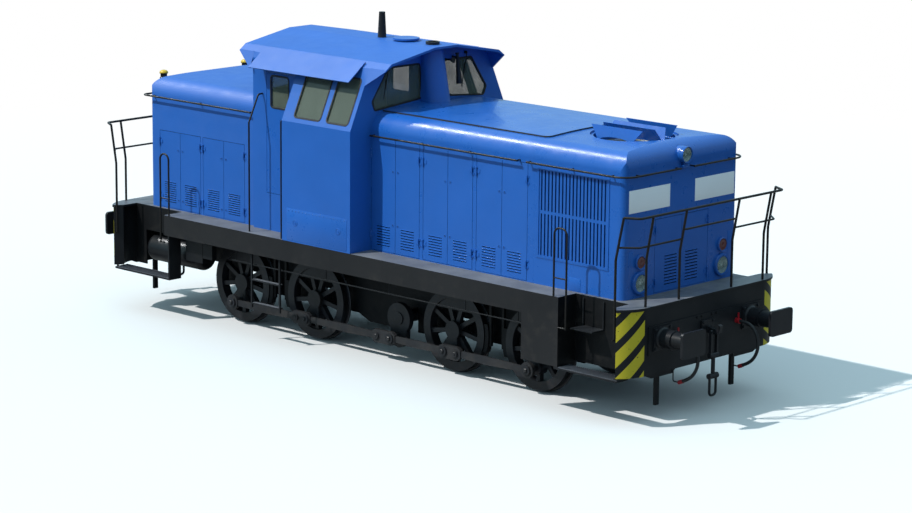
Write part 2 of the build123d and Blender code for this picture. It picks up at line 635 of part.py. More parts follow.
def side_grilles():
    """Radiator grilles with upright slats and a middle bar, one on each side."""
    found = []
    for side in (-1, 1):
        face = sorted((side * (HOOD_Y - 24), side * (HOOD_Y - 2)))
        border = block((GRILLE_X[0] - 22, GRILLE_X[1] + 22), sorted((side * HOOD_Y, side * (HOOD_Y + 8))),
                       (GRILLE_Z[0] - 22, GRILLE_Z[1] + 22))
        border = border + block(GRILLE_X, sorted((side * (HOOD_Y - 24), side * (HOOD_Y + 4))), GRILLE_Z)
        border = border - block((GRILLE_X[0] + 10, GRILLE_X[1] - 10), sorted((side * 1000, side * 1200)),
                                (GRILLE_Z[0] + 14, GRILLE_Z[1] - 14))
        parts = [border, block((GRILLE_X[0] + 5, GRILLE_X[1] - 5), face, (GRILLE_BAR_Z - 20, GRILLE_BAR_Z + 20))]
        pitch = (GRILLE_X[1] - GRILLE_X[0] - 40) / (SLATS - 1)
        for k in range(SLATS):
            x = GRILLE_X[0] + 20 + k * pitch
            parts.append(block((x - 18, x + 18), face, (GRILLE_Z[0] + 5, GRILLE_Z[1] - 5)))
        found.append(fused(parts))
    return found


def door_pairs(table):
    return [table["first"] + k * table["pitch"] for k in range(table["pairs"])]


HINGE_Z = (0.14, 0.86)      # hinge heights as a share of the door height


def hinge_row(table, side, edge, sign, on_door):
    """Hinge halves along one edge: the door's barrels, or the hood's above and below them."""
    z0, z1 = table["z"]
    axis_x, axis_y = edge + sign * HINGE_IN, side * (HOOD_Y + HINGE_OUT)
    room = min(28, min(abs(edge - x) for x in LONG_HOOD_X + SHORT_HOOD_X) - 1)
    flap_x = sorted((edge + sign * (GAP + 1), edge + sign * 60)) if on_door else \
        sorted((edge - sign * room, edge))
    tongue_x = sorted((edge + sign * (GAP + 1), edge + sign * (HINGE_IN + HINGE_R))) if on_door else \
        sorted((edge - sign * 6, edge + sign * 2))
    flap_y = sorted((side * (HOOD_Y - 2), side * (HOOD_Y + 6)))
    tongue_y = sorted((side * (HOOD_Y - 2), side * (HOOD_Y + HINGE_OUT)))
    parts = []
    for share in HINGE_Z:
        z = z0 + share * (z1 - z0)
        for span in ([(z - 26, z + 26)] if on_door else [(z - 56, z - 28), (z + 28, z + 56)]):
            parts.append(fused([bar_z(HINGE_R, axis_x, axis_y, span), block(flap_x, flap_y, span),
                                block(tongue_x, tongue_y, span)]))
    return parts


def hood_hinges(table):
    return [h for side in (-1, 1) for x in door_pairs(table)
            for edge, sign in ((x, 1), (x + 2 * table["leaf"], -1))
            for h in hinge_row(table, side, edge, sign, False)]


def hood_door(table, side, edge, sign):
    """One door leaf, hinged at edge and reaching towards sign, with its louvre field."""
    z0, z1 = table["z"]
    far = edge + sign * table["leaf"]
    x = sorted((edge + sign * GAP, far - sign * GAP / 2))
    y = sorted((side * (HOOD_Y - PLATE), side * HOOD_Y))
    leaf = block(x, y, (z0, z1))
    middle = (x[0] + x[1]) / 2
    count, first, pitch = table["louvres"]
    for k in range(count):
        z = first + k * pitch
        slot = block((middle - 120, middle + 120), (side * HOOD_Y - 60, side * HOOD_Y + 60), (z - 6, z + 6))
        leaf = leaf - slot
    return fused([leaf] + hinge_row(table, side, edge, sign, True))


def nose_hinges(side, on_door):
    """Hinge halves along the outer edge of one nose door."""
    z0, z1 = NOSE_DOORS["z"]
    face, edge = LONG_HOOD_X[1], NOSE_DOORS["half"]
    axis_x, axis_y = face + HINGE_OUT, side * (edge - HINGE_IN)
    flap_y = (edge - 60, edge - GAP - 1) if on_door else (edge, edge + 28)
    tongue_y = (edge - HINGE_IN - HINGE_R, edge - GAP - 1) if on_door else (edge - 2, edge + 6)
    parts = []
    for share in HINGE_Z:
        z = z0 + share * (z1 - z0)
        for span in ([(z - 26, z + 26)] if on_door else [(z - 56, z - 28), (z + 28, z + 56)]):
            parts.append(fused([bar_z(HINGE_R, axis_x, axis_y, span),
                                block((face - 2, face + 6), sorted(side * y for y in flap_y), span),
                                block((face - 2, axis_x), sorted(side * y for y in tongue_y), span)]))
    return parts


def nose_door(side):
    """One leaf of the nose doors, hinged at its outer edge, with its louvre field."""
    z0, z1 = NOSE_DOORS["z"]
    x = (LONG_HOOD_X[1] - PLATE, LONG_HOOD_X[1])
    leaf = block(x, sorted((side * GAP / 2, side * (NOSE_DOORS["half"] - GAP))), (z0, z1))
    for k in range(10):
        z = 1590 + k * 40
        leaf = leaf - block((x[0] - 20, x[1] + 20), sorted((side * 85, side * 325)), (z - 7, z + 7))
    return fused([leaf] + nose_hinges(side, True))


def short_hood():
    length = SHORT_HOOD_X[1] - SHORT_HOOD_X[0]
    shell = hood_solid(length) - hood_solid(length, PLATE)
    shell = Pos(SHORT_HOOD_X[1], 0, 0) * Rot(0, 0, 180) * shell
    for x in door_pairs(SHORT_DOORS):
        z = SHORT_DOORS["z"]
        shell = shell - block((x, x + 2 * SHORT_DOORS["leaf"]), (-1300, 1300), (z[0] - GAP, z[1] + GAP))
    return fused([shell] + hood_hinges(SHORT_DOORS))


COVER_X = (76, 3028)
COVER_T = 20


def hood_lid():
    """Raised bolted cover on top of the long hood."""
    outer = extrude(Pos(COVER_X[0], 0, 0) * hood_section(-COVER_T), amount=COVER_X[1] - COVER_X[0], dir=(1, 0, 0))
    inner = extrude(Pos(COVER_X[0], 0, 0) * hood_section(0), amount=COVER_X[1] - COVER_X[0], dir=(1, 0, 0))
    keep = block(COVER_X, (-905, 905), (3200, 3500))
    keep = fillet(keep.edges().filter_by(Axis.Z).group_by(Axis.X)[-1], 90)
    return (outer - inner) & keep


FLAP_HALF = 425              # half length of the top edge of a shutter flap
OUTER_FLAP = dict(top=(335, 3487), foot=(380, 3302), foot_half=270, arch=60)
INNER_FLAP = dict(top=(105, 3487), foot=(16, 3320), foot_half=485, arch=0)


def flap(side, shape):
    """Open shutter flap: a thin plate from a shaft in the opening up to its long free edge."""
    (y1, z1), (y0, z0) = shape["top"], shape["foot"]
    height = hypot(y1 - y0, z1 - z0)
    half = shape["foot_half"]
    outline = [(-half, 0)]
    if shape["arch"]:
        outline += [(half * t, shape["arch"] * sqrt(1 - t * t)) for t in (-0.8, -0.4, 0.0, 0.4, 0.8)]
    else:
        outline += [(0, 0)]
    outline += [(half, 0), (FLAP_HALF, height), (-FLAP_HALF, height)]
    face = make_face(Polyline(*[(x, 0, h) for x, h in outline], close=True))
    plate = extrude(face, amount=8, dir=(0, 1, 0))
    tilt = degrees(atan2(y0 - y1, z1 - z0))
    whole = Pos(FAN_X, y0, z0) * Rot(tilt, 0, 0) * plate
    return whole if side > 0 else mirrored(whole)


def fan_shroud():
    """Ring in the hood top with the fan, its crossbars, and four open shutter flaps."""
    ring = bar_z(FAN_R - 3, FAN_X, 0, (3180, 3345)) - bar_z(FAN_R - 43, FAN_X, 0, (3170, 3360))
    parts = [ring, bar_z(120, FAN_X, 0, (3185, 3260))]
    for k in range(4):
        parts.append(Pos(FAN_X, 0, 3205) * Rot(0, 0, 22.5 + 45 * k) * Box(2 * FAN_R - 50, 50, 30))
    for shape in (OUTER_FLAP, INNER_FLAP):
        y, z = shape["foot"]
        reach = sqrt((FAN_R - 20) ** 2 - (y + 10) ** 2)
        for side in (-1, 1):
            parts.append(bar_x(11, (FAN_X - reach, FAN_X + reach), side * y, z + 4))
            parts.append(flap(side, shape))
    return fused(parts)


# ---- cab ------------------------------------------------------------------------------------
def lean_y(z):
    """Outer half width of the cab at height z above the knee."""
    return SIDE_Y + (EAVE_Y - SIDE_Y) * (z - KNEE_Z) / (EAVE_Z - KNEE_Z)


def cab_outline(foot_y, inset):
    """Half-width outline of a cab end wall, closed under the roof."""
    right = [(foot_y, DECK_Z)]
    if foot_y > RECESS_WALL_Y:
        right.append((SIDE_Y, KNEE_Z))
    else:
        right.append((foot_y, lean_z(foot_y)))
    right.append((EAVE_Y, EAVE_Z))
    right += [(y, z - 1) for y, z in roof_half(PLATE)]
    return right + [(-y, z) for y, z in reversed(right)]


END_WINDOW = ((165, 3438), (1055, 3362), (1105, 3480), (800, 3908), (205, 3908))


def end_wall(x, foot_y):
    wall = prism_x(cab_outline(foot_y, 0), x)
    for side in (-1, 1):
        hole = prism_x([(side * y, z) for y, z in END_WINDOW], (x[0] - 30, x[1] + 30))
        hole = fillet(hole.edges().filter_by(Axis.X), 38)
        wall = wall - hole
    return wall


SIDE_WINDOWS = ((-1038, -535), (-421, -12))     # x limits of the two bay windows
SIDE_WINDOW_Z = (3195, 3790)


def cab_side():
    """Left cab side: flush bay that leans in above the knee, return wall and door wall."""
    bay_x = (BAY_X[0], BAY_X[1] - WALL)
    skin = [(-SIDE_Y, DECK_Z), (-SIDE_Y, KNEE_Z), (-EAVE_Y, EAVE_Z), (-EAVE_Y + 45, EAVE_Z),
            (-SIDE_Y + WALL, KNEE_Z - 9), (-SIDE_Y + WALL, DECK_Z)]
    bay = prism_x(skin, bay_x)
    for x in SIDE_WINDOWS:
        hole = block(x, (-1600, -1000), SIDE_WINDOW_Z)
        bay = bay - fillet(hole.edges().filter_by(Axis.Y), 45)
    return_wall = prism_x([(-SIDE_Y, DECK_Z), (-SIDE_Y, KNEE_Z), (-EAVE_Y, EAVE_Z), (-EAVE_Y + 45, EAVE_Z),
                           (-RECESS_WALL_Y + WALL, 3700), (-RECESS_WALL_Y + WALL, DECK_Z)],
                          (BAY_X[0], BAY_X[0] + WALL))
    door_wall = block((CAB_X[0] + WALL, BAY_X[0] + 5), (-RECESS_WALL_Y, -RECESS_WALL_Y + WALL), (DECK_Z, 3800))
    cap = prism_x([(-RECESS_WALL_Y, 3790), (-RECESS_WALL_Y, lean_z(RECESS_WALL_Y)), (-EAVE_Y, EAVE_Z),
                   (-EAVE_Y + 45, EAVE_Z), (-RECESS_WALL_Y + WALL, 3790)], (CAB_X[0] + WALL, BAY_X[0] + 5))
    opening = block(CAB_DOOR_X, (-1300, -1000), CAB_DOOR_Z)
    return fused([bay, return_wall, door_wall, cap] + cab_hinges(False)) - opening


def cab_hinges(on_door):
    """Hinge halves inside the cab, along the rear edge of the door."""
    inner = -RECESS_WALL_Y + WALL
    axis_x, axis_y = CAB_DOOR_X[0] + HINGE_IN, inner + HINGE_OUT
    parts = []
    for share in (0.12, 0.5, 0.88):
        z = CAB_DOOR_Z[0] + share * (CAB_DOOR_Z[1] - CAB_DOOR_Z[0])
        for span in ([(z - 26, z + 26)] if on_door else [(z - 56, z - 28), (z + 28, z + 56)]):
            x = (CAB_DOOR_X[0] + GAP + 1, axis_x + HINGE_R) if on_door else (CAB_DOOR_X[0] - 30, CAB_DOOR_X[0] - 0)
            parts.append(bar_z(HINGE_R, axis_x, axis_y, span)
                         + block(x, (inner - (7 if on_door else 2), axis_y), span))
    return parts


def lean_z(y):
    """Height at which the leaning cab side stands at half width y."""
    return KNEE_Z + (SIDE_Y - y) / (SIDE_Y - EAVE_Y) * (EAVE_Z - KNEE_Z)


def cab_door():
    """Left cab door with its window and handle; it swings into the cab."""
    x = (CAB_DOOR_X[0] + GAP, CAB_DOOR_X[1] - GAP)
    z = (CAB_DOOR_Z[0] + GAP, CAB_DOOR_Z[1] - GAP)
    leaf = block(x, (-RECESS_WALL_Y, -RECESS_WALL_Y + 35), z)
    hole = block(DOOR_WINDOW_X, (-1300, -1000), DOOR_WINDOW_Z)
    leaf = leaf - fillet(hole.edges().filter_by(Axis.Y), 45)
    lever = bar_y(12, CAB_DOOR_X[1] - 70, (-RECESS_WALL_Y - 45, -RECESS_WALL_Y + 2), 2950)
    grip = bar_x(10, (CAB_DOOR_X[1] - 190, CAB_DOOR_X[1] - 60), -RECESS_WALL_Y - 42, 2950)
    return fused([leaf, lever, grip] + cab_hinges(True))


DOOR_WINDOW_X = (-1808, -1453)
DOOR_WINDOW_Z = (3205, 3645)


def cab_floor():
    wide = block((BAY_X[0] + WALL, BAY_X[1] - WALL), (-SIDE_Y + WALL, SIDE_Y - WALL), (FLOOR_Z - 40, FLOOR_Z))
    narrow = block((CAB_X[0] + WALL, BAY_X[0] + WALL + 5),
                   (-RECESS_WALL_Y + WALL, RECESS_WALL_Y - WALL), (FLOOR_Z - 40, FLOOR_Z))
    return wide + narrow


def roof_half(drop):
    """Half profile of the roof, dropped by the plate thickness for the inner line."""
    return [(EAVE_Y - drop, EAVE_Z), (ROOF_PROFILE[0][0] - drop * 0.5, ROOF_PROFILE[0][1] - drop),
            (ROOF_PROFILE[1][0], ROOF_PROFILE[1][1] - drop)]


def cab_roof():
    outer = roof_half(0)
    inner = roof_half(PLATE)
    outline = outer + [(-y, z) for y, z in reversed(outer)] + [(-y, z) for y, z in inner] \
        + [(y, z) for y, z in reversed(inner)]
    plate = prism_x(outline, ROOF_X)
    cheeks = []
    for wall_x, tip_x in ((CAB_X[1], ROOF_X[1]), (CAB_X[0], ROOF_X[0])):
        low = 3713
        section = [(EAVE_Y, EAVE_Z + 5), (lean_y(low), low), (lean_y(low) - PLATE, low),
                   (EAVE_Y - PLATE, EAVE_Z + 5)]
        x = sorted((wall_x, tip_x))
        keep = prism_y([(wall_x, low), (tip_x, EAVE_Z - 12), (tip_x, EAVE_Z + 5), (wall_x, EAVE_Z + 5)],
                       (0, 1600))
        cheek = prism_x(section, x) & keep
        cheeks += [cheek, mirrored(cheek)]
    ribs = [prism_x([(1075, 3972), (1090, 3986), (1170, 3926), (1153, 3926), (1141, 3939)], (x - 15, x + 15))
            for x in (VISOR_X[0] + 200, (VISOR_X[0] + VISOR_X[1]) / 2, VISOR_X[1] - 200)]
    sunshade = fused([mirrored(visor())] + ribs)
    return fused([plate] + cheeks + [sunshade, mirrored(sunshade)])


VISOR_X = (-2012, -69)


def visor():
    top, low = (-1094, 4004), (-1411, 3762)
    t = 12
    outline = [top, low, (low[0] + t * 0.6, low[1] - t * 0.8), (top[0] + t * 0.6, top[1] - t * 0.8)]
    return prism_x(outline, VISOR_X)


def cab_glass():
    """Window panes of the cab walls, each in the middle of its wall."""
    panes = []
    for x in (CAB_X[1] - 23, CAB_X[0] + 17):
        for side in (-1, 1):
            pane = prism_x([(side * y, z) for y, z in END_WINDOW], (x, x + 6))
            panes.append(fillet(pane.edges().filter_by(Axis.X), 38))
    slab = [(-lean_y(z) + off, z) for z, off in ((3150, 17), (3850, 17), (3850, 23), (3150, 23))]
    for x in SIDE_WINDOWS:
        strip = prism_x(slab, (x[0] - 20, x[1] + 20))
        hole = block(x, (-1600, -1000), SIDE_WINDOW_Z)
        pane = strip & fillet(hole.edges().filter_by(Axis.Y), 45)
        panes += [pane, mirrored(pane)]
    return panes


def exhaust_column():
    """Round cowl between the two front windows, standing on the hood cover."""
    x = CAB_X[1]
    def plan(depth, z):
        flat = max(depth - COLUMN_Y, 20)
        return Pos(0, 0, z) * make_face(Wire([
            Line((x - 5, -COLUMN_Y), (x + flat, -COLUMN_Y)),
            ThreePointArc((x + flat, -COLUMN_Y), (x + depth, 0), (x + flat, COLUMN_Y)),
            Line((x + flat, COLUMN_Y), (x - 5, COLUMN_Y)), Line((x - 5, COLUMN_Y), (x - 5, -COLUMN_Y))]))
    cowl = loft([plan(COLUMN_DEPTH[0], 3300), plan(COLUMN_DEPTH[1], 4110)])
    below = extrude(hood_section(-COVER_T), amount=1500, dir=(1, 0, 0))
    return cowl - below - prism_x([(900, 4093), (-900, 4093), (-900, 4300), (900, 4300)], (x - 6, x + 900))


COLUMN_Y = 185
COLUMN_DEPTH = (330, 160)    # how far the cowl stands out at the hood and under the roof


def control_desk():
    desk = block((-650, -50), (-520, 520), (FLOOR_Z, FLOOR_Z + 950))
    return desk


def driver_seats():
    found = []
    for side in (-1, 1):
        y = side * 1040
        base = bar_z(60, -760, y, (FLOOR_Z, FLOOR_Z + 480))
        pan = block((-980, -540), (y - 220, y + 220), (FLOOR_Z + 470, FLOOR_Z + 560))
        back = block((-980, -920), (y - 200, y + 200), (FLOOR_Z + 550, FLOOR_Z + 950))
        found.append(fused([base, pan, back]))
    return found


def engine():
    """Engine as one plain block on its bearers."""
    block_body = block((800, 2700), (-480, 480), (DECK_Z, DECK_Z + 1250))
    return block_body


def lamps():
    """Headlamps: one on top of each hood, white and red lamps low on both ends, rear beacons."""
    x = LONG_HOOD_X[1]
    top = bar_x(TOP_LAMP_R - 2, (TOP_LAMP_X[0] + 2, TOP_LAMP_X[1]), 0, TOP_LAMP_Z)
    bracket = block((x, x + 50), (-60, 60), (TOP_LAMP_Z - 165, TOP_LAMP_Z - 130)) \
        + block((x + 12, x + 38), (-30, 30), (TOP_LAMP_Z - 140, TOP_LAMP_Z - 90))
    found = [top + bracket]
    rear = SHORT_HOOD_X[0]
    found.append(bar_x(TOP_LAMP_R - 2, (rear - 72, rear), 0, TOP_LAMP_Z - 120))
    for side in (-1, 1):
        found.append(bar_x(95, (x, x + 24), side * 809, 1943))
        found.append(bar_x(145, (x, x + 32), side * 807, 1678))
        found.append(bar_x(95, (rear - 24, rear), side * 809, 1943))
        found.append(bar_x(145, (rear - 32, rear), side * 807, 1678))
        found.append(bar_z(62, rear - 66, side * 787, (3260, 3400))
                     + block((rear - 66, rear), (side * 787 - 25, side * 787 + 25), (3090, 3130))
                     + block((rear - 76, rear - 46), (side * 787 - 25, side * 787 + 25), (3090, 3262)))
    return found


def roof_fittings():
    """Stack, vent disc and ring on the cab roof, and the two horns on the front wall."""
    top = ROOF_PROFILE[1][1]
    stack = Pos(-850, 0, top + 175) * Cone(60, 42, 350)
    disc = Pos(-385, 0, top + 10) * Cylinder(120, 20) + Pos(-385, 0, top + 30) * Cylinder(180, 24)
    ring = Pos(110, 0, top + 20) * (Cylinder(95, 40) - Cylinder(72, 50)) + Pos(110, 0, top + 5) * Cylinder(95, 10)
    wall = CAB_X[1]
    big = Pos(wall + 95, 447, 3792) * Rot(6.2, 0, 0) * Cone(42, 18, 417) + bar_z(28, wall + 95, 424, (3990, 4006))
    big = big + block((wall, wall + 98), (420, 440), (3930, 3956))
    trumpet = bar_x(12, (wall, wall + 140), 250, 3930) + Pos(wall + 160, 250, 3930) * Rot(0, 90, 0) * Cone(12, 40, 60)
    return [stack, disc, ring, big, trumpet]


# ---- the nodes -------------------------------------------------------------------------------
for k, x in enumerate(AXLE_X):
    node(f"wheelset_{k + 1}", *wheelset(x))
node("jackshaft", jackshaft())
node("side_rods_left", side_rods(-1))
node("side_rods_right", side_rods(1))

node("main_frame", *main_frame())
node("frame_members", *frame_members())
node("deck", deck())
node("headstocks", *both_ends([headstock()]))
node("buffers", *both_ends([buffer(1), buffer(-1)]))
node("screw_couplings", *both_ends([drawhook()]))
node("brake_pipe_fittings", *both_ends(angle_cocks()), hose_fitting(-1), hose_fitting(1))
node("steps", *steps())
node("air_reservoirs", *air_reservoirs())
node("brake_gear", *brake_gear())
node("brake_hose_left", hose(-1))
node("brake_hose_right", hose(1))

rails = both_ends([end_railing()])
for side in (-1, 1):
    rails.append(loop_handrail(BOARD_X[1], 3681, 3889, side))
    rails.append(loop_handrail(BOARD_X[0], -3566, -3744, side))
    rails.append(hood_rail((119, 2751), 3050, (130, 1020, 1880, 2740), side))
    rails.append(hood_rail((2910, 4351), 3050, (2921, 3640, 4300), side, nose=(4560, 130, 205, (905, 145))))
    rails.append(hood_rail((-4380, -2210), 3085, (-2221, -3300, -4280), side, nose=(-4474, 870, 85, (886,))))
    rails += cab_handrails(side)
node("handrails", *rails)

node("long_hood", *long_hood())
node("side_grilles", *side_grilles())
node("hood_lid", hood_lid())
node("fan_shroud", fan_shroud())
node("short_hood", short_hood())
for side, name in ((-1, "left"), (1, "right")):
    for table, hood in ((LONG_DOORS, "long"), (SHORT_DOORS, "short")):
        number = 1
        for x in door_pairs(table):
            for edge, sign in ((x, 1), (x + 2 * table["leaf"], -1)):
                node(f"{hood}_door_{name}_{number}", hood_door(table, side, edge, sign))
                number += 1
    node(f"nose_door_{name}", nose_door(side))

node("cab_front_wall", end_wall((CAB_X[1] - WALL, CAB_X[1]), SIDE_Y) + exhaust_column())
node("cab_rear_wall", end_wall((CAB_X[0], CAB_X[0] + WALL), RECESS_WALL_Y))
node("cab_side_left", cab_side())
node("cab_side_right", mirrored(cab_side()))
node("cab_floor", cab_floor())
node("cab_roof", cab_roof())
node("cab_glass", *cab_glass())
node("cab_door_left", cab_door())
node("cab_door_right", mirrored(cab_door()))
node("cab_furniture", control_desk(), *driver_seats())
node("engine", engine())
node("lamps", *lamps())
node("roof_fittings", *roof_fittings())

for name, shape in NODES.items():
    export_step(shape, f"parts/{name}.step")
print(len(NODES), "nodes written")
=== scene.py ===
"""Looks of a diesel shunting locomotive: paint, glass, lamps, seals, louvres, stripes and small fittings.

All sizes are in metres in the row frame; heights above the rail are given with rail(z).
"""
from math import cos, pi, radians, sin

import bmesh
import bpy
from mathutils import Matrix, Vector


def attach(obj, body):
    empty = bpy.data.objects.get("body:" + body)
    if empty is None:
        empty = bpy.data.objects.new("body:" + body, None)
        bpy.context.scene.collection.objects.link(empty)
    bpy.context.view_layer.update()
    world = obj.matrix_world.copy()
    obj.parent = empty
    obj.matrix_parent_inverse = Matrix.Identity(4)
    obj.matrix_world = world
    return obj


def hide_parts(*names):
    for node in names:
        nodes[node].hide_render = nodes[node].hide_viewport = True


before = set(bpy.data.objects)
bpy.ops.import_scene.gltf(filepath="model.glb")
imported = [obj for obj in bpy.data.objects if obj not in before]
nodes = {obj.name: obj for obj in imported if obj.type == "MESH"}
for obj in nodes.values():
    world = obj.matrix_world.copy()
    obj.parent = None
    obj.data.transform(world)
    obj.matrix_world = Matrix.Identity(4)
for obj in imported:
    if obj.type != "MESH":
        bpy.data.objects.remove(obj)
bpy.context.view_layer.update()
BODY = "locomotive"

# ---- named places ----
FLANGE = 0.030                       # the wheel flanges hang this far below the rail top
SIDES = ((-1, "left"), (1, "right"))
ENDS = (1, -1)
AXLE_X = (-2.800, -1.315, 1.316, 2.801)
JACKSHAFT_X = 0.324
WHEEL_R = 0.550
ROD_FACE_Y = 1.013
HEAD_X = 4.912
HEAD_FLAT_Y = 1.160
HEAD_R = 0.483
NOSE_X = 4.486
REAR_X = -4.402
HOOD_Y = 1.118
RECESS_X = 3.664                     # the step recesses lie beyond this
SIDE_Y = 1.512
HOOD_END = {1: NOSE_X, -1: REAR_X}   # outer faces of the two hoods
CAB_X = (-2.163, 0.069)
CAB_END = {1: CAB_X[1], -1: CAB_X[0]}
CAB_SKIN = 0.012                     # thickness of the cab's sheet metal
CAB_STEP_X = -1.236                  # the cab is narrower behind this
KNEE_Z, EAVE = 3.130, (1.145, 3.933)             # the cab sides lean in from the knee to the eave (y, z)
LEAN = (SIDE_Y - EAVE[0]) / (EAVE[1] - KNEE_Z)   # inward shift for each metre of height
CAB_GREEN = (0.20, 0.235, 0.19)
DISC_X = -0.385                      # vent disc on the cab roof
BUFFER_Y, BUFFER_Z = 0.875, 1.065
HOOK_Z = 1.050                       # draw hooks and the ends of the brake pipes
DECK_TOP = (1.480, 1.488)            # the tread begins between these heights
# hood doors: hinge edge along X and the way the leaf runs from it
LONG_LEAVES = ((0.076, 1), (0.968, -1), (1.031, 1), (1.923, -1), (1.986, 1), (2.878, -1))
SHORT_LEAVES = ((-4.185, 1), (-3.321, -1), (-3.275, 1), (-2.411, -1))
LONG_LEAF, SHORT_LEAF = 0.446, 0.432


def rail(z):
    """Row height of a point that is z above the rail."""
    return z + FLANGE


def heights(low, high):
    """Span along Z between two heights above the rail."""
    return rail(low), rail(high)


def across(side, a, b):
    """Span from a to b along Y on one side of the vehicle."""
    return sorted((side * a, side * b))


def bake(name, bm):
    """Mesh made from a bmesh, which is freed."""
    mesh = bpy.data.meshes.new(name)
    bm.to_mesh(mesh)
    bm.free()
    return mesh


def add_object(name, data, smooth=True, sharp=35.0):
    """New object in the scene; smooth shades its mesh and keeps edges over sharp degrees."""
    if smooth:
        for poly in data.polygons:
            poly.use_smooth = True
        data.set_sharp_from_angle(angle=radians(sharp))
    obj = bpy.data.objects.new(name, data)
    bpy.context.collection.objects.link(obj)
    return obj


# ---- camera ----
CAM_POS = (28.353, -29.330, 9.767)
CAM_YAW, CAM_PITCH, CAM_ROLL = 2.329, 0.20561, 0.00882
FOCAL_PX, FRAME_PX = 3053.0, 912
SENSOR = 36.0                        # mm
CLIP_END = 400.0


def add_camera():
    """The main view's camera, placed by position and angles."""
    forward = Vector((cos(CAM_YAW) * cos(CAM_PITCH), sin(CAM_YAW) * cos(CAM_PITCH), -sin(CAM_PITCH)))
    level = Vector((sin(CAM_YAW), -cos(CAM_YAW), 0.0))
    upright = level.cross(forward)
    right = cos(CAM_ROLL) * level + sin(CAM_ROLL) * upright
    up = cos(CAM_ROLL) * upright - sin(CAM_ROLL) * level
    data = bpy.data.cameras.new("camera")
    data.sensor_width = SENSOR
    data.lens = FOCAL_PX / FRAME_PX * SENSOR
    data.clip_end = CLIP_END
    obj = add_object("camera", data, smooth=False)
    turn = Matrix((right, up, -forward)).transposed().to_4x4()
    obj.matrix_world = Matrix.Translation(CAM_POS) @ turn
    bpy.context.scene.camera = obj


add_camera()


# ---- shader helper ----
class Shader:
    """One material and short calls that add nodes to it; everything is placed by Object coordinates."""

    def __init__(self, name):
        self.mat = bpy.data.materials.new(name)
        self.mat.use_nodes = True
        self.tree = self.mat.node_tree
        self.bsdf = next(n for n in self.tree.nodes if n.type == "BSDF_PRINCIPLED")
        self.coord = self.add("ShaderNodeTexCoord").outputs["Object"]
        self.split = None
        self.normal = None

    def add(self, kind, **settings):
        node = self.tree.nodes.new(kind)
        for key, value in settings.items():
            setattr(node, key, value)
        return node

    def feed(self, socket, value):
        """Link a socket to an input or set its value; one number fills every channel."""
        if isinstance(value, bpy.types.NodeSocket):
            self.tree.links.new(value, socket)
        elif hasattr(socket.default_value, "__len__") and not hasattr(value, "__len__"):
            socket.default_value = (value, value, value)
        elif hasattr(value, "__len__") and len(socket.default_value) == 4 and len(value) == 3:
            socket.default_value = (*value, 1.0)
        else:
            socket.default_value = value

    def set(self, name, value):
        self.feed(self.bsdf.inputs[name], value)

    def colour(self, value):
        self.set("Base Color", value)

    def gloss(self, value):
        self.set("Specular IOR Level", value)

    def axis(self, letter):
        """Coordinate along one axis, in the row frame."""
        if self.split is None:
            self.split = self.add("ShaderNodeSeparateXYZ")
            self.feed(self.split.inputs[0], self.coord)
        return self.split.outputs[letter]

    def facing(self, letter):
        """Component of the surface direction along one axis."""
        if self.normal is None:
            self.normal = self.add("ShaderNodeSeparateXYZ")
            self.feed(self.normal.inputs[0], self.add("ShaderNodeNewGeometry").outputs["Normal"])
        return self.normal.outputs[letter]

    def facing_up(self):
        """Mask of the faces that look up."""
        return self.remap(self.facing("Z"), 0.6, 0.9)

    def math(self, op, a, b=0.0):
        node = self.add("ShaderNodeMath", operation=op)
        self.feed(node.inputs[0], a)
        self.feed(node.inputs[1], b)
        return node.outputs[0]

    def below(self, value, limit):
        return self.math("LESS_THAN", value, limit)

    def above(self, value, limit):
        return self.math("GREATER_THAN", value, limit)

    def off(self, letter):
        """Distance from the middle plane square to one axis."""
        return self.math("ABSOLUTE", self.axis(letter))

    def remap(self, value, low, high, to_low=0.0, to_high=1.0):
        node = self.add("ShaderNodeMapRange", clamp=True)
        for key, item in zip(("Value", "From Min", "From Max", "To Min", "To Max"),
                             (value, low, high, to_low, to_high)):
            self.feed(node.inputs[key], item)
        return node.outputs["Result"]

    def noise(self, scale, detail=3.0, stretch=(1, 1, 1)):
        place = self.add("ShaderNodeMapping")
        self.feed(place.inputs["Vector"], self.coord)
        self.feed(place.inputs["Scale"], stretch)
        node = self.add("ShaderNodeTexNoise")
        self.feed(node.inputs["Vector"], place.outputs[0])
        for key, item in (("Scale", scale), ("Detail", detail), ("Roughness", 0.55)):
            self.feed(node.inputs[key], item)
        return node.outputs["Fac"]

    def mix(self, share, a, b):
        node = self.add("ShaderNodeMix", data_type="RGBA")
        self.feed(node.inputs[0], share)
        self.feed(node.inputs[6], a)
        self.feed(node.inputs[7], b)
        return node.outputs[2]

    def bump(self, height, distance, strength=0.5):
        """Fine relief; distance is its depth in metres."""
        node = self.add("ShaderNodeBump")
        for key, item in (("Strength", strength), ("Distance", distance), ("Height", height)):
            self.feed(node.inputs[key], item)
        self.set("Normal", node.outputs[0])

    def mottle(self, a, b, scale=1.3, detail=3.0, low=0.3):
        """Slow change between two colours."""
        return self.mix(self.remap(self.noise(scale, detail), low, 0.7), a, b)

    def cells(self, scale):
        """Distance to the nearest point of a cell pattern."""
        node = self.add("ShaderNodeTexVoronoi", feature="F1")
        self.feed(node.inputs["Vector"], self.coord)
        self.feed(node.inputs["Scale"], scale)
        return node.outputs["Distance"]

    def roughness(self, low, high, scale=6.0, detail=3.0):
        """Roughness that drifts between two values."""
        self.set("Roughness", self.remap(self.noise(scale, detail), 0.3, 0.7, low, high))

    def distance(self, a, b):
        """Length of the vector (a, b)."""
        return self.math("SQRT", self.math("ADD", self.math("MULTIPLY", a, a), self.math("MULTIPLY", b, b)))

    def both(self, *shares):
        """Product of several masks."""
        out = shares[0]
        for share in shares[1:]:
            out = self.math("MULTIPLY", out, share)
        return out


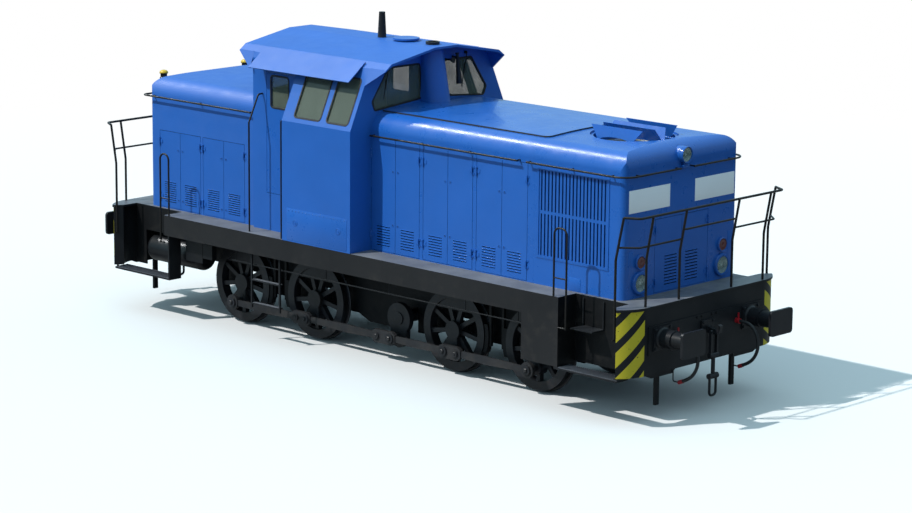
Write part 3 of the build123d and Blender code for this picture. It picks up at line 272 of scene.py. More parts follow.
def shade(colour, factor):
    """The same colour, lighter or darker."""
    return tuple(min(1.0, c * factor) for c in colour)


def paint(name, colour, rough=0.34, coat=0.0, metal=0.0, vary=0.10, dust=0.0, grain=0.0006,
          streak=0.0, spec=0.5, grain_scale=90.0):
    """Paint with slow colour variation, fine grain, run-down streaks and dust that gathers low down."""
    s = Shader(name)
    look = s.mottle(shade(colour, 1 - vary), shade(colour, 1 + vary))
    if streak:
        lines = s.remap(s.noise(9.0, 4.0, (1, 1, 0.06)), 0.56, 0.80, 0.0, streak)
        look = s.mix(lines, look, shade(colour, 0.45))
    if dust:
        low = s.remap(s.axis("Z"), 1.9, 0.1)
        look = s.mix(s.both(low, s.remap(s.noise(5.0, 5.0), 0.42, 0.75, 0.0, dust)), look, DUST)
    s.colour(look)
    s.roughness(max(0.05, rough - 0.06), rough + 0.08, detail=4.0)
    s.set("Metallic", metal)
    s.gloss(spec)
    if coat:
        s.set("Coat Weight", coat)
        s.set("Coat Roughness", 0.08)
    if grain:
        s.bump(s.noise(grain_scale, 3.0), grain, 0.6)
    return s.mat


BLUE = (0.013, 0.108, 0.435)
BLACK = (0.0105, 0.0115, 0.0135)
YELLOW = (0.56, 0.46, 0.030)
DUST = (0.16, 0.13, 0.10)

blue_paint = paint("blue_paint", BLUE, rough=0.30, vary=0.05, grain=0.0, spec=0.55)
soft_blue_paint = paint("soft_blue_paint", BLUE, rough=0.52, vary=0.05, grain=0.0, spec=0.5)
blue_lamp = paint("blue_lamp_paint", shade(BLUE, 0.9), rough=0.30, coat=0.2, vary=0.05, spec=0.35)
black_paint = paint("black_paint", shade(BLACK, 0.8), rough=0.45, vary=0.25, dust=0.06, spec=0.18)
rail_paint = paint("rail_paint", (0.010, 0.0085, 0.0075), rough=0.38, vary=0.3, spec=0.3)
rod_paint = paint("rod_paint", (0.020, 0.021, 0.024), rough=0.40, vary=0.25, dust=0.15, spec=0.35)
buffer_paint = paint("buffer_paint", (0.010, 0.011, 0.014), rough=0.36, vary=0.2, dust=0.05, spec=0.3)
step_paint = paint("step_paint", (0.105, 0.112, 0.130), rough=0.55, vary=0.2, dust=0.1)
tank_paint = paint("tank_paint", (0.0065, 0.0075, 0.0095), rough=0.34, vary=0.2, dust=0.04, spec=0.3)
white_paint = paint("panel_paint", (0.92, 0.94, 0.96), rough=0.35, vary=0.03)
yellow_paint = paint("yellow_paint", (0.60, 0.40, 0.020), rough=0.35, vary=0.05)
bolt_steel = paint("bolt_steel", (0.055, 0.058, 0.065), rough=0.40, metal=0.6, vary=0.3, dust=0.2)
rubber = paint("seal_rubber", (0.010, 0.010, 0.010), rough=0.62, vary=0.2, grain=0.0008, grain_scale=160.0)
hose_skin = paint("hose_rubber", (0.012, 0.012, 0.014), rough=0.55, vary=0.25, grain=0.0010, grain_scale=220.0)
inside_paint = paint("cab_inside_paint", CAB_GREEN, rough=0.50, vary=0.08)
engine_paint = paint("engine_paint", (0.16, 0.175, 0.18), rough=0.45, vary=0.15, streak=0.3)
chrome = paint("lamp_reflector", (0.40, 0.46, 0.45), rough=0.16, metal=1.0, vary=0.05, grain=0.0)
bulb_glass = paint("bulb_glass", (0.85, 0.85, 0.78), rough=0.10, vary=0.02, grain=0.0)
red_lens = paint("red_lens", (0.085, 0.003, 0.008), rough=0.14, coat=0.7, vary=0.25, grain=0.0)
guard_mesh = paint("fan_metal", (0.30, 0.30, 0.27), rough=0.40, metal=0.5, vary=0.2)


def glass(name, tint, alpha, rough=0.04):
    """Window or lamp glass that lets the room behind it show, with a faint film of dirt."""
    s = Shader(name)
    s.colour(tint)
    film = s.remap(s.noise(3.0, 4.0), 0.45, 0.8, alpha, min(1.0, alpha + 0.14))
    s.set("Alpha", film)
    s.roughness(rough, rough + 0.05, scale=8.0)
    s.gloss(0.6)
    return s.mat


window_glass = glass("window_glass", (0.16, 0.19, 0.15), 0.40)
lens_glass = glass("lens_glass", (0.24, 0.33, 0.31), 0.42, 0.10)


def deck_top(s):
    """Mask of the walking surface and its worn grey."""
    top = s.both(s.facing_up(), s.remap(s.axis("Z"), *map(rail, DECK_TOP)))
    return top, s.mottle((0.105, 0.113, 0.135), (0.165, 0.172, 0.190), scale=2.2, detail=5.0, low=0.35)


def deck_material():
    """Running boards and side beams: charcoal sides with painted shade on the walls in the step recesses,
    lighter grey raised-pattern tread on top.
    """
    s = Shader("deck_paint")
    top, tread = deck_top(s)
    side = s.mottle((0.0125, 0.0125, 0.0140), (0.0175, 0.0172, 0.0185), scale=1.6, detail=4.0)
    # painted shade: the side walls inside the step recesses at both ends are darkened
    recess_shade = s.both(s.above(s.off("X"), RECESS_X),
                    s.below(s.off("Y"), SIDE_Y - 0.004))
    side = s.mix(recess_shade, side, (0.0045, 0.0048, 0.0056))
    dirt = s.both(s.remap(s.axis("Z"), rail(1.50), rail(1.2)), s.remap(s.noise(7.0, 4.0), 0.5, 0.8, 0.0, 0.15))
    s.colour(s.mix(top, s.mix(dirt, side, (0.10, 0.085, 0.07)), tread))
    s.set("Roughness", s.mix(top, (0.48, 0.48, 0.48), (0.62, 0.62, 0.62)))
    s.gloss(0.25)
    s.bump(s.both(top, s.remap(s.cells(38.0), 0.1, 0.5, 1.0, 0.0)), 0.0010, 0.4)
    return s.mat


STRIPE_PITCH, STRIPE_YELLOW = 0.320, 0.195
STRIPE_Y, STRIPE_TOP = 1.192, 1.403  # where the bands begin along Y and Z
STRIPE_END = rail(1.452)             # top edge of the banded field
STRIPE_EASE = 0.35                   # how much flatter the bands run on the right side


def headstock_material():
    """Black headstock whose curved ends carry diagonal yellow bands, worked out along the curve."""
    s = Shader("headstock_paint")
    y = s.off("Y")
    x = s.off("X")
    dx = s.math("SUBTRACT", x, HEAD_X - HEAD_R)
    dy = s.math("SUBTRACT", y, HEAD_FLAT_Y)
    slope = s.math("SUBTRACT", 1.0, s.math("MULTIPLY", s.above(s.axis("Y"), 0.0), STRIPE_EASE))
    along = s.both(s.math("ARCTAN2", dy, dx), HEAD_R, slope)
    radius = s.distance(dx, dy)
    phase = s.math("SUBTRACT", STRIPE_TOP, s.math("ADD", s.axis("Z"), along))
    yellow = s.below(s.math("FLOORED_MODULO", phase, STRIPE_PITCH), STRIPE_YELLOW)
    zone = s.both(s.above(y, STRIPE_Y), s.above(radius, HEAD_R - 0.004),
                  s.below(radius, HEAD_R + 0.004), s.below(s.axis("Z"), STRIPE_END))
    top, tread = deck_top(s)
    base = s.mottle(shade(BLACK, 0.85), shade(BLACK, 1.25), scale=1.6, detail=4.0)
    chips = s.remap(s.noise(26.0, 6.0), 0.66, 0.72)
    bands = s.mix(chips, s.mix(s.noise(3.0), shade(YELLOW, 0.92), YELLOW), shade(BLACK, 1.5))
    s.colour(s.mix(top, s.mix(s.both(zone, yellow), base, bands), tread))
    s.roughness(0.38, 0.50, detail=4.0)
    s.gloss(0.22)
    s.bump(s.noise(90.0), 0.0006, 0.5)
    return s.mat


def door_material(name, letter, face):
    """Blue door, darkened by painted shade in its louvre slots and behind; its outer face lies at face along
    letter.
    """
    s = Shader(name)
    outer = s.remap(s.off(letter), face - 0.004, face - 0.0015)
    paint_blue = s.mottle(shade(BLUE, 0.95), shade(BLUE, 1.05))
    # painted shade: back from the door's outer face, in the louvre slots and behind the door, the blue goes
    # almost black
    s.colour(s.mix(outer, shade(BLUE, 0.10), paint_blue))
    s.roughness(0.38, 0.48, detail=4.0)
    s.gloss(0.5)
    return s.mat


def step_material():
    """Steps: worn grey treads on black hangers."""
    s = Shader("step_iron")
    worn = s.mottle((0.095, 0.102, 0.118), (0.150, 0.158, 0.178), scale=9.0, detail=5.0, low=0.35)
    side = s.mottle(shade(BLACK, 0.8), shade(BLACK, 1.5), scale=3.0, detail=4.0)
    tread = s.both(s.facing_up(), s.below(s.axis("Z"), rail(0.9)))
    s.colour(s.mix(tread, side, worn))
    s.roughness(0.42, 0.60, detail=4.0)
    s.gloss(0.22)
    s.bump(s.noise(80.0), 0.0008, 0.5)
    return s.mat


def fitting_material():
    """Brake cocks and hose heads in red, their parking rods in black."""
    s = Shader("fitting_paint")
    high = s.above(s.axis("Z"), 0.90)
    head = s.above(s.axis("X"), HEAD_X + 0.074)
    red = s.mottle((0.30, 0.007, 0.014), (0.40, 0.010, 0.018), scale=6.0)
    s.colour(s.mix(s.math("MAXIMUM", high, head), shade(BLACK, 1.1), red))
    s.roughness(0.30, 0.45, scale=8.0)
    s.bump(s.noise(120.0), 0.0005, 0.5)
    return s.mat


def roof_fitting_material():
    """Stack, ring and horns in black, the vent disc in the roof's blue."""
    s = Shader("roof_fitting_paint")
    disc = s.below(s.math("ABSOLUTE", s.math("SUBTRACT", s.axis("X"), DISC_X)), 0.22)
    blue = s.mottle(shade(BLUE, 0.97), shade(BLUE, 1.08))
    s.colour(s.mix(disc, (0.010, 0.009, 0.009), blue))
    s.roughness(0.30, 0.42)
    s.bump(s.noise(90.0), 0.0001, 0.5)
    return s.mat


def wheel_material(x):
    """Cast wheel: black spokes and rim, bright worn running surface; x is the axle's place."""
    s = Shader("wheel_at_%d" % round(x * 1000))
    dx = s.math("SUBTRACT", s.axis("X"), x)
    dz = s.math("SUBTRACT", s.axis("Z"), rail(WHEEL_R))
    radius = s.distance(dx, dz)
    y = s.off("Y")
    flat = s.remap(s.math("ABSOLUTE", s.facing("Y")), 0.75, 0.55)
    tread = s.both(s.remap(radius, WHEEL_R - 0.018, WHEEL_R - 0.008), s.remap(y, 0.60, 0.66), flat)
    base = s.mottle((0.008, 0.009, 0.011), (0.016, 0.018, 0.024), scale=4.0, detail=5.0, low=0.35)
    dusty = s.mix(s.remap(s.noise(14.0, 5.0), 0.55, 0.8, 0.0, 0.35), base, (0.07, 0.05, 0.038))
    s.colour(s.mix(tread, dusty, (0.16, 0.165, 0.18)))
    s.set("Metallic", tread)
    s.set("Roughness", s.mix(tread, (0.40, 0.40, 0.40), (0.28, 0.28, 0.28)))
    s.bump(s.noise(70.0, 4.0), 0.0010, 0.5)
    return s.mat


def lid_material():
    """Hood cover: blue top, dark sealed edge."""
    s = Shader("lid_paint")
    edge = s.remap(s.facing("Z"), 0.75, 0.55)
    top = s.mottle(shade(BLUE, 0.98), shade(BLUE, 1.10))
    s.colour(s.mix(edge, top, (0.035, 0.032, 0.028)))
    s.roughness(0.26, 0.38, detail=4.0)
    s.set("Coat Weight", 0.2)
    s.bump(s.noise(90.0), 0.0001, 0.5)
    return s.mat


def side_grille_material():
    """Grille slats: blue, darkened between them by painted shade."""
    s = Shader("grille_paint")
    painted_shade_depth = s.remap(s.off("Y"), HOOD_Y - 0.022, HOOD_Y - 0.006)
    # painted shade: the slats go dark blue deeper in, between the slats
    s.colour(s.mix(painted_shade_depth, shade(BLUE, 0.25), s.mix(s.noise(2.0), shade(BLUE, 0.92), BLUE)))
    s.roughness(0.28, 0.42)
    s.bump(s.noise(90.0), 0.0001, 0.5)
    return s.mat


def cab_material(name):
    """Cab sheet metal: blue outside, pale green-grey inside."""
    s = Shader(name)
    y = s.off("Y")
    inside = s.both(s.below(y, SIDE_Y - CAB_SKIN),
                    s.above(s.axis("X"), CAB_X[0] + 0.006),
                    s.below(s.axis("X"), CAB_X[1] - 0.006))
    over_knee = s.math("MAXIMUM", s.math("SUBTRACT", s.axis("Z"), rail(KNEE_Z)), 0.0)
    lean = s.math("SUBTRACT", SIDE_Y - CAB_SKIN, s.math("MULTIPLY", over_knee, LEAN))
    wide = s.math("MAXIMUM", s.above(s.axis("X"), CAB_STEP_X), s.below(y, 1.168))
    out = s.mottle(shade(BLUE, 0.95), shade(BLUE, 1.05))
    s.colour(s.mix(s.both(inside, wide, s.below(y, lean)), out, CAB_GREEN))
    s.roughness(0.36, 0.46, detail=4.0)
    return s.mat


def roof_material():
    """Cab roof: blue, pale green-grey under the part inside the cab."""
    s = Shader("roof_paint")
    under = s.both(s.remap(s.facing("Z"), -0.3, -0.6),
                   s.below(s.off("Y"), 1.12),
                   s.above(s.axis("X"), CAB_X[0]), s.below(s.axis("X"), CAB_X[1]))
    out = s.mottle(shade(BLUE, 0.97), shade(BLUE, 1.10), scale=1.1)
    s.colour(s.mix(under, out, CAB_GREEN))
    s.roughness(0.48, 0.58, scale=5.0, detail=4.0)
    return s.mat


def dress(node, mat):
    """Give one CAD part a material."""
    for slot in nodes[node].material_slots:
        slot.material = mat


side_door_paint = door_material("side_door_paint", "Y", HOOD_Y)
nose_door_paint = door_material("nose_door_paint", "X", NOSE_X)
for node in nodes:
    if node.startswith(("long_door", "short_door")):
        dress(node, side_door_paint)
    elif node.startswith("nose_door"):
        dress(node, nose_door_paint)
    elif node.startswith("cab_door") or node in ("long_hood", "fan_shroud"):
        dress(node, blue_paint)
    elif node == "short_hood":
        dress(node, soft_blue_paint)
for k, x in enumerate(AXLE_X, 1):
    dress("wheelset_%d" % k, wheel_material(x))
dress("jackshaft", wheel_material(JACKSHAFT_X))
for mat, parts in (
        (black_paint, "main_frame frame_members brake_gear"),
        (rod_paint, "side_rods_left side_rods_right"),
        (deck_material(), "deck"), (headstock_material(), "headstocks"),
        (buffer_paint, "buffers screw_couplings"), (tank_paint, "air_reservoirs"),
        (step_material(), "steps"), (rail_paint, "handrails"),
        (fitting_material(), "brake_pipe_fittings"), (lid_material(), "hood_lid"),
        (side_grille_material(), "side_grilles"),
        (cab_material("cab_side_paint"), "cab_side_left cab_side_right"),
        (cab_material("cab_end_paint"), "cab_front_wall cab_rear_wall"), (roof_material(), "cab_roof"),
        (inside_paint, "cab_floor"), (window_glass, "cab_glass"), (engine_paint, "engine"),
        (roof_fitting_material(), "roof_fittings")):
    for node in parts.split():
        dress(node, mat)

# ---- brake hoses ----
HOSE_Y = 0.600
HOSE_R = 0.022
HOSE_START = (HEAD_X + 0.075, rail(HOOK_Z))
HOSE_ROUTE = ((0, 0), (0.128, 0), (0.238, -0.070), (0.298, -0.190), (0.298, -0.328), (0.240, -0.446),
              (0.152, -0.526), (0.062, -0.566))

for side, word in SIDES:
    data = bpy.data.curves.new("hose_skin_" + word, "CURVE")
    data.dimensions = "3D"
    data.bevel_depth = HOSE_R
    data.bevel_resolution = 5
    data.resolution_u = 16
    data.use_fill_caps = True
    line = data.splines.new("NURBS")
    line.points.add(len(HOSE_ROUTE) - 1)
    for point, (dx, dz) in zip(line.points, HOSE_ROUTE):
        point.co = (HOSE_START[0] + dx, side * HOSE_Y, HOSE_START[1] + dz, 1.0)
    line.order_u = 3
    line.use_endpoint_u = True
    data.materials.append(hose_skin)
    hose = add_object("brake_hose_skin_" + word, data, smooth=False)
    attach(hose, BODY)
    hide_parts("brake_hose_" + word)


# ---- mesh builder ----
def basis(axis):
    """Two directions square to axis, and axis itself."""
    w = Vector(axis).normalized()
    u = w.orthogonal().normalized()
    return u, w.cross(u), w


class Piece:
    """Collects shapes in one mesh; each shape names its material."""

    def __init__(self, name):
        self.name = name
        self.bm = bmesh.new()
        self.mats = []

    def index(self, mat):
        if mat not in self.mats:
            self.mats.append(mat)
        return self.mats.index(mat)

    def faces(self, points, quads, mat):
        """Add points and the smooth faces between them."""
        verts = [self.bm.verts.new(p) for p in points]
        slot = self.index(mat)
        for quad in quads:
            face = self.bm.faces.new([verts[i] for i in quad])
            face.material_index = slot
            face.smooth = True

    def box(self, x, y, z, mat, bevel=0.0):
        """Box between two corners, with its edges rounded by bevel."""
        low, high = (Vector(corner) for corner in zip(x, y, z))
        made = bmesh.ops.create_cube(self.bm, size=1.0)["verts"]
        for v in made:
            v.co = v.co * (high - low) + (low + high) / 2
        slot = self.index(mat)
        for f in {f for v in made for f in v.link_faces}:
            f.material_index = slot
        if bevel:
            edges = list({e for v in made for e in v.link_edges})
            out = bmesh.ops.bevel(self.bm, geom=edges, offset=bevel, segments=2, affect="EDGES", profile=0.5)
            for f in out["faces"]:
                f.material_index = slot

    def lathe(self, origin, axis, profile, mat, steps=32):
        """Turned shape; profile lists (radius, height along axis), and radius 0 closes it."""
        u, v, w = basis(axis)
        origin = Vector(origin)
        points, rings = [], []
        for r, h in profile:
            if r < 1e-6:
                rings.append([len(points)] * steps)
                points.append(origin + w * h)
                continue
            rings.append(list(range(len(points), len(points) + steps)))
            for k in range(steps):
                a = 2 * pi * k / steps
                points.append(origin + (u * cos(a) + v * sin(a)) * r + w * h)
        quads = []
        for low, high in zip(rings, rings[1:]):
            for k in range(steps):
                m = (k + 1) % steps
                quads.append(list(dict.fromkeys((low[k], low[m], high[m], high[k]))))
        self.faces(points, quads, mat)

    def rod(self, a, b, r, mat):
        """Thin round bar from a to b."""
        h = (b - a).length
        self.lathe(a, b - a, [(0, 0), (r, 0), (r, h), (0, h)], mat, 8)

    def bolt(self, place, axis, r, mat):
        """Hexagon head on a washer."""
        self.lathe(place, axis, [(r * 1.35, -0.001), (r * 1.35, r * 0.22), (0, r * 0.22)], mat, 16)
        self.lathe(place, axis, [(r, r * 0.2), (r, r * 0.85), (r * 0.8, r * 1.0), (0, r * 1.0)], mat, 6)

    def strip(self, outline, normal, width, height, mat):
        """Raised band of that width and height along a closed flat outline, with chamfered edges."""
        n = Vector(normal).normalized()
        pts = [Vector(p) for p in outline]
        count = len(pts)
        section = ((-0.5, 0.0), (-0.36, 1.0), (0.36, 1.0), (0.5, 0.0))
        points, quads = [], []
        for i, p in enumerate(pts):
            j = (i + 1) % count
            out = (pts[j] - pts[i - 1]).normalized().cross(n)
            points += [p + out * (width * a) + n * (height * b) for a, b in section]
            for k in range(3):
                quads.append((i * 4 + k, i * 4 + k + 1, j * 4 + k + 1, j * 4 + k))
        self.faces(points, quads, mat)

    def done(self, body=BODY, sharp=35.0, replaces=()):
        """Make the object and say what it rides, how sharp its edges stay and the CAD parts it replaces."""
        bmesh.ops.recalc_face_normals(self.bm, faces=self.bm.faces)
        mesh = bake(self.name, self.bm)
        for mat in self.mats:
            mesh.materials.append(mat)
        obj = add_object(self.name, mesh, sharp=sharp)
        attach(obj, body)
        if replaces:
            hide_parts(*replaces)
        return obj


# ---- rows of equal units by Geometry Nodes ----
def row_group():
    """Node group: copies of one object along a straight row, made real, in one material."""
    group = bpy.data.node_groups.new("unit_row", "GeometryNodeTree")
    for name, kind in (("Unit", "Object"), ("Count", "Int"), ("Start", "Vector"), ("Step", "Vector"),
                       ("Material", "Material")):
        group.interface.new_socket(name, in_out="INPUT", socket_type="NodeSocket" + kind)
    group.interface.new_socket("Geometry", in_out="OUTPUT", socket_type="NodeSocketGeometry")
    give, take, line, unit, copies, real, coat = (group.nodes.new(kind) for kind in (
        "NodeGroupInput", "NodeGroupOutput", "GeometryNodeMeshLine", "GeometryNodeObjectInfo",
        "GeometryNodeInstanceOnPoints", "GeometryNodeRealizeInstances", "GeometryNodeSetMaterial"))
    line.mode = "OFFSET"
    for a, start, b, end in (
            (give, "Unit", unit, "Object"), (give, "Count", line, "Count"),
            (give, "Start", line, "Start Location"), (give, "Step", line, "Offset"),
            (line, "Mesh", copies, "Points"), (unit, "Geometry", copies, "Instance"),
            (copies, "Instances", real, "Geometry"), (real, "Geometry", coat, "Geometry"),
            (give, "Material", coat, "Material"), (coat, "Geometry", take, "Geometry")):
        group.links.new(a.outputs[start], b.inputs[end])
    return group


ROWS = row_group()
ROW_INPUTS = [item.identifier for item in ROWS.interface.items_tree if item.in_out == "INPUT"]
units = []                           # meshes that the rows copy


def unit(name, build):
    """Mesh that a row copies, removed at the end; build adds its shapes round the origin."""
    piece = Piece(name)
    build(piece)
    bmesh.ops.recalc_face_normals(piece.bm, faces=piece.bm.faces)
    obj = add_object(name, bake(name, piece.bm), smooth=False)
    units.append(obj)
    return obj


def rows(name, body, mat, runs):
    """One plain mesh of several rows; runs lists (unit, count, start, step)."""
    whole = bmesh.new()
    for copied, count, start, step in runs:
        holder = add_object("row_holder", bpy.data.meshes.new("row_holder"), smooth=False)
        mod = holder.modifiers.new("row", "NODES")
        mod.node_group = ROWS
        for key, value in zip(ROW_INPUTS, (copied, count, start, step, mat)):
            mod[key] = value
        holder.update_tag()
        graph = bpy.context.evaluated_depsgraph_get()
        mesh = bpy.data.meshes.new_from_object(holder.evaluated_get(graph))
        whole.from_mesh(mesh)
        bpy.data.objects.remove(holder)
        bpy.data.meshes.remove(mesh)
    mesh = bake(name, whole)
    mesh.materials.clear()
    mesh.materials.append(mat)
    for poly in mesh.polygons:
        poly.material_index = 0
    obj = add_object(name, mesh)
    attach(obj, body)
    return obj


# ---- louvres and locks of the hood doors ----
LOUVRE_LENGTH = 0.240
# sections of a lip: (off the face, z)
DOOR_LIP = ((0.0, 0.0125), (0.004, 0.011), (0.005, 0.007), (0.0, 0.008))
NOSE_LIP = ((0.0, 0.0140), (0.005, 0.012), (0.006, 0.008), (0.0, 0.009))


def lip(name, section, place):
    """Unit for one pressed louvre lip; place turns (along, off the face, z) into a point."""
    pts = [place(s * LOUVRE_LENGTH / 2, off, z) for s in (-1, 1) for off, z in section]
    quads = [(0, 1, 5, 4), (1, 2, 6, 5), (2, 3, 7, 6), (0, 3, 2, 1), (4, 5, 6, 7)]
    return unit(name, lambda piece: piece.faces(pts, quads, blue_paint))


# leaves, width, name, louvres (count, lowest, pitch), lock height
HOODS = ((LONG_LEAVES, LONG_LEAF, "long_door", (8, 1.585, 0.036), 2.30),
         (SHORT_LEAVES, SHORT_LEAF, "short_door", (10, 1.590, 0.031), 2.05))
LOCK_DZ, LOCK_INSET = (-0.42, 0.30), 0.045

for side, word in SIDES:
    blade = lip("louvre_lip_" + word, DOOR_LIP, lambda along, off, z: (along, side * off, z))
    for leaves, width, stem, (count, low, pitch), lock_z in HOODS:
        for number, (edge, sign) in enumerate(leaves, 1):
            body = "%s_%s_%d" % (stem, word, number)
            middle = edge + sign * (width + 0.003) / 2
            rows("louvres_" + body, body, blue_paint,
                 [(blade, count, (middle, side * HOOD_Y, rail(low)), (0, 0, pitch))])
            lock = Piece("locks_" + body)
            for dz in LOCK_DZ:
                place = (edge + sign * (width - LOCK_INSET), side * HOOD_Y, rail(lock_z + dz))
                lock.lathe(place, (0, side, 0), [(0.020, 0), (0.020, 0.003), (0.013, 0.005), (0.013, 0.003),
                                                 (0, 0.003)], blue_paint, 20)
                lock.box((place[0] - 0.003, place[0] + 0.003), across(side, HOOD_Y, HOOD_Y + 0.006),
                         (place[2] - 0.010, place[2] + 0.010), bolt_steel, 0.001)
            lock.done(body)

NOSE_LOUVRES = (10, 1.590, 0.040)
NOSE_LOUVRE_Y = 0.205
blade = lip("louvre_lip_nose", NOSE_LIP, lambda along, off, z: (off, along, z))
count, low, pitch = NOSE_LOUVRES
for side, word in SIDES:
    rows("louvres_nose_door_" + word, "nose_door_" + word, blue_paint,
         [(blade, count, (NOSE_X, side * NOSE_LOUVRE_Y, rail(low)), (0, 0, pitch))])

# ---- plates on the hoods and the cab ----
WHITE_PLATE_Y, WHITE_PLATE_Z = (0.247, 1.036), (2.578, 2.867)    # bare white fields
CORNER_PLATE_Y, CORNER_PLATE_Z = (0.930, 1.028), (1.650, 2.100)
HATCH_X, HATCH_Z = (3.591, 3.787), (1.500, 1.664)                # cover on the hood side
plates = Piece("nose_panels")
for side, _ in SIDES:
    plates.box((NOSE_X - 0.001, NOSE_X + 0.002), across(side, *WHITE_PLATE_Y), heights(*WHITE_PLATE_Z),
               white_paint, 0.0008)
    plates.box((NOSE_X - 0.001, NOSE_X + 0.003), across(side, *CORNER_PLATE_Y), heights(*CORNER_PLATE_Z),
               blue_paint, 0.001)
plates.done()

PANEL_X, PANEL_Z = (-1.148, 0.006), (1.539, 1.978)                # row heights, latches too
PANEL_LATCHES = ((-0.982, 1.790), (-0.156, 1.790))
PANEL_BOLTS, PANEL_BOLT_PITCH = 17, 0.067
SMALL_BOLT = [(0.009, 0), (0.009, 0.003), (0.005, 0.006), (0, 0.006)]
panel = Piece("cab_access_panels")
for side, word in SIDES:
    face = side * (SIDE_Y + 0.002)
    panel.box(PANEL_X, across(side, SIDE_Y - 0.002, SIDE_Y + 0.003), PANEL_Z, blue_paint, 0.0012)
    for x, z in PANEL_LATCHES:
        panel.lathe((x, face, z), (0, side, 0), [(0.046, 0), (0.046, 0.004), (0.036, 0.007), (0.036, 0.003),
                                                 (0.014, 0.003), (0.014, 0.008), (0, 0.008)], blue_paint, 28)
    panel.box(HATCH_X, across(side, HOOD_Y - 0.001, HOOD_Y + 0.003), heights(*HATCH_Z), blue_paint, 0.001)
    head = unit("small_bolt_" + word,
                lambda piece: piece.lathe((0, 0, 0), (0, side, 0), SMALL_BOLT, blue_paint, 8))
    start = (PANEL_X[0] + 0.04, face, PANEL_Z[1] - 0.028)
    rows("panel_bolts_" + word, BODY, blue_paint,
         [(head, PANEL_BOLTS, start, (PANEL_BOLT_PITCH, 0, 0))])
panel.done()

# ---- lamps ----
lamps = Piece("lamp_set")


def round_lamp(place, out, ring_r, lens_r, depth, lens=lens_glass, dish=chrome):
    """Lamp on a face that looks along out: painted ring, dish behind, bulb and a slightly domed lens."""
    lamps.lathe(place, out, [(ring_r, -0.004), (ring_r, depth * 0.55), (ring_r - 0.008, depth * 0.85),
                             (lens_r + 0.014, depth), (lens_r + 0.004, depth * 0.92), (lens_r, depth * 0.5)],
                blue_lamp, 40)
    lamps.lathe(place, out, [(lens_r + 0.002, depth * 0.5), (lens_r * 0.75, depth * 0.22),
                             (lens_r * 0.4, depth * 0.1), (0, depth * 0.06)], dish, 36)
    lamps.lathe(place, out, [(lens_r * 0.16, depth * 0.08), (lens_r * 0.15, depth * 0.35), (0, depth * 0.42)],
                bulb_glass, 14)
    lamps.lathe(place, out, [(lens_r + 0.003, depth * 0.74), (lens_r * 0.9, depth * 0.82),
                             (lens_r * 0.86, depth * 0.80), (lens_r * 0.62, depth * 0.88),
                             (lens_r * 0.58, depth * 0.86), (lens_r * 0.3, depth * 0.92), (0, depth * 0.93)],
                lens, 36)


LAMP_Y, LAMP_Z = 0.807, 1.678        # headlamps, with red lamps over them
RED_Y, RED_Z = 0.809, 1.943
for end in ENDS:
    for side, _ in SIDES:
        round_lamp((HOOD_END[end], side * LAMP_Y, rail(LAMP_Z)), (end, 0, 0), 0.150, 0.108, 0.040)
        round_lamp((HOOD_END[end], side * RED_Y, rail(RED_Z)), (end, 0, 0), 0.095, 0.074, 0.034,
                   red_lens, red_lens)
TOP_R, TOP_LENS_R = 0.106, 0.088
TOP_LAMP_X, TOP_LAMP_Z = 4.512, rail(3.209)
lamps.lathe((TOP_LAMP_X - 0.130, 0, TOP_LAMP_Z), (1, 0, 0),
            [(0, 0), (TOP_R - 0.006, 0), (TOP_R, 0.012), (TOP_R, 0.130)], blue_lamp, 40)
round_lamp((TOP_LAMP_X, 0, TOP_LAMP_Z), (1, 0, 0), TOP_R, TOP_LENS_R, 0.046)
lamps.box((NOSE_X, NOSE_X + 0.050), (-0.060, 0.060), heights(3.044, 3.079), blue_lamp, 0.004)
lamps.box((NOSE_X + 0.012, NOSE_X + 0.038), (-0.030, 0.030), heights(3.069, 3.119), blue_lamp, 0.003)
REAR_LAMP_Z = TOP_LAMP_Z - 0.120
round_lamp((REAR_X - 0.030, 0, REAR_LAMP_Z), (-1, 0, 0), TOP_R, TOP_LENS_R, 0.042)
lamps.lathe((REAR_X + 0.002, 0, REAR_LAMP_Z), (-1, 0, 0), [(TOP_R, 0), (TOP_R, 0.036)], blue_lamp, 40)
BEACON_X, BEACON_Y = REAR_X - 0.066, 0.787
for side, _ in SIDES:
    foot = (BEACON_X, side * BEACON_Y, rail(3.260))
    lamps.lathe(foot, (0, 0, 1), [(0, 0), (0.050, 0), (0.058, 0.008), (0.058, 0.030), (0.048, 0.040),
                                  (0.048, 0.086), (0.062, 0.090), (0.062, 0.098)], rail_paint, 32)
    lamps.lathe(foot, (0, 0, 1), [(0.062, 0.098), (0.060, 0.114), (0.046, 0.130), (0.024, 0.138), (0, 0.140)],
                yellow_paint, 32)
    arm = across(side, BEACON_Y - 0.025, BEACON_Y + 0.025)
    lamps.box((BEACON_X, REAR_X), arm, heights(3.090, 3.130), rail_paint, 0.003)
    lamps.box((BEACON_X - 0.010, BEACON_X + 0.020), arm, heights(3.090, 3.262), rail_paint, 0.003)
lamps.done(replaces=("lamps",))

# ---- window seals, wipers ----
END_WINDOW = ((0.165, 3.438), (1.055, 3.362), (1.105, 3.480), (0.800, 3.908), (0.205, 3.908))
SIDE_WINDOWS = ((-1.038, -0.535), (-0.421, -0.012))
SIDE_WINDOW_Z = (3.195, 3.790)
DOOR_WINDOW = ((-1.808, -1.453), (3.205, 3.645))
DOOR_Y = 1.180
SEAL = (0.026, 0.006)                # width and height
CORNER_R = 0.045


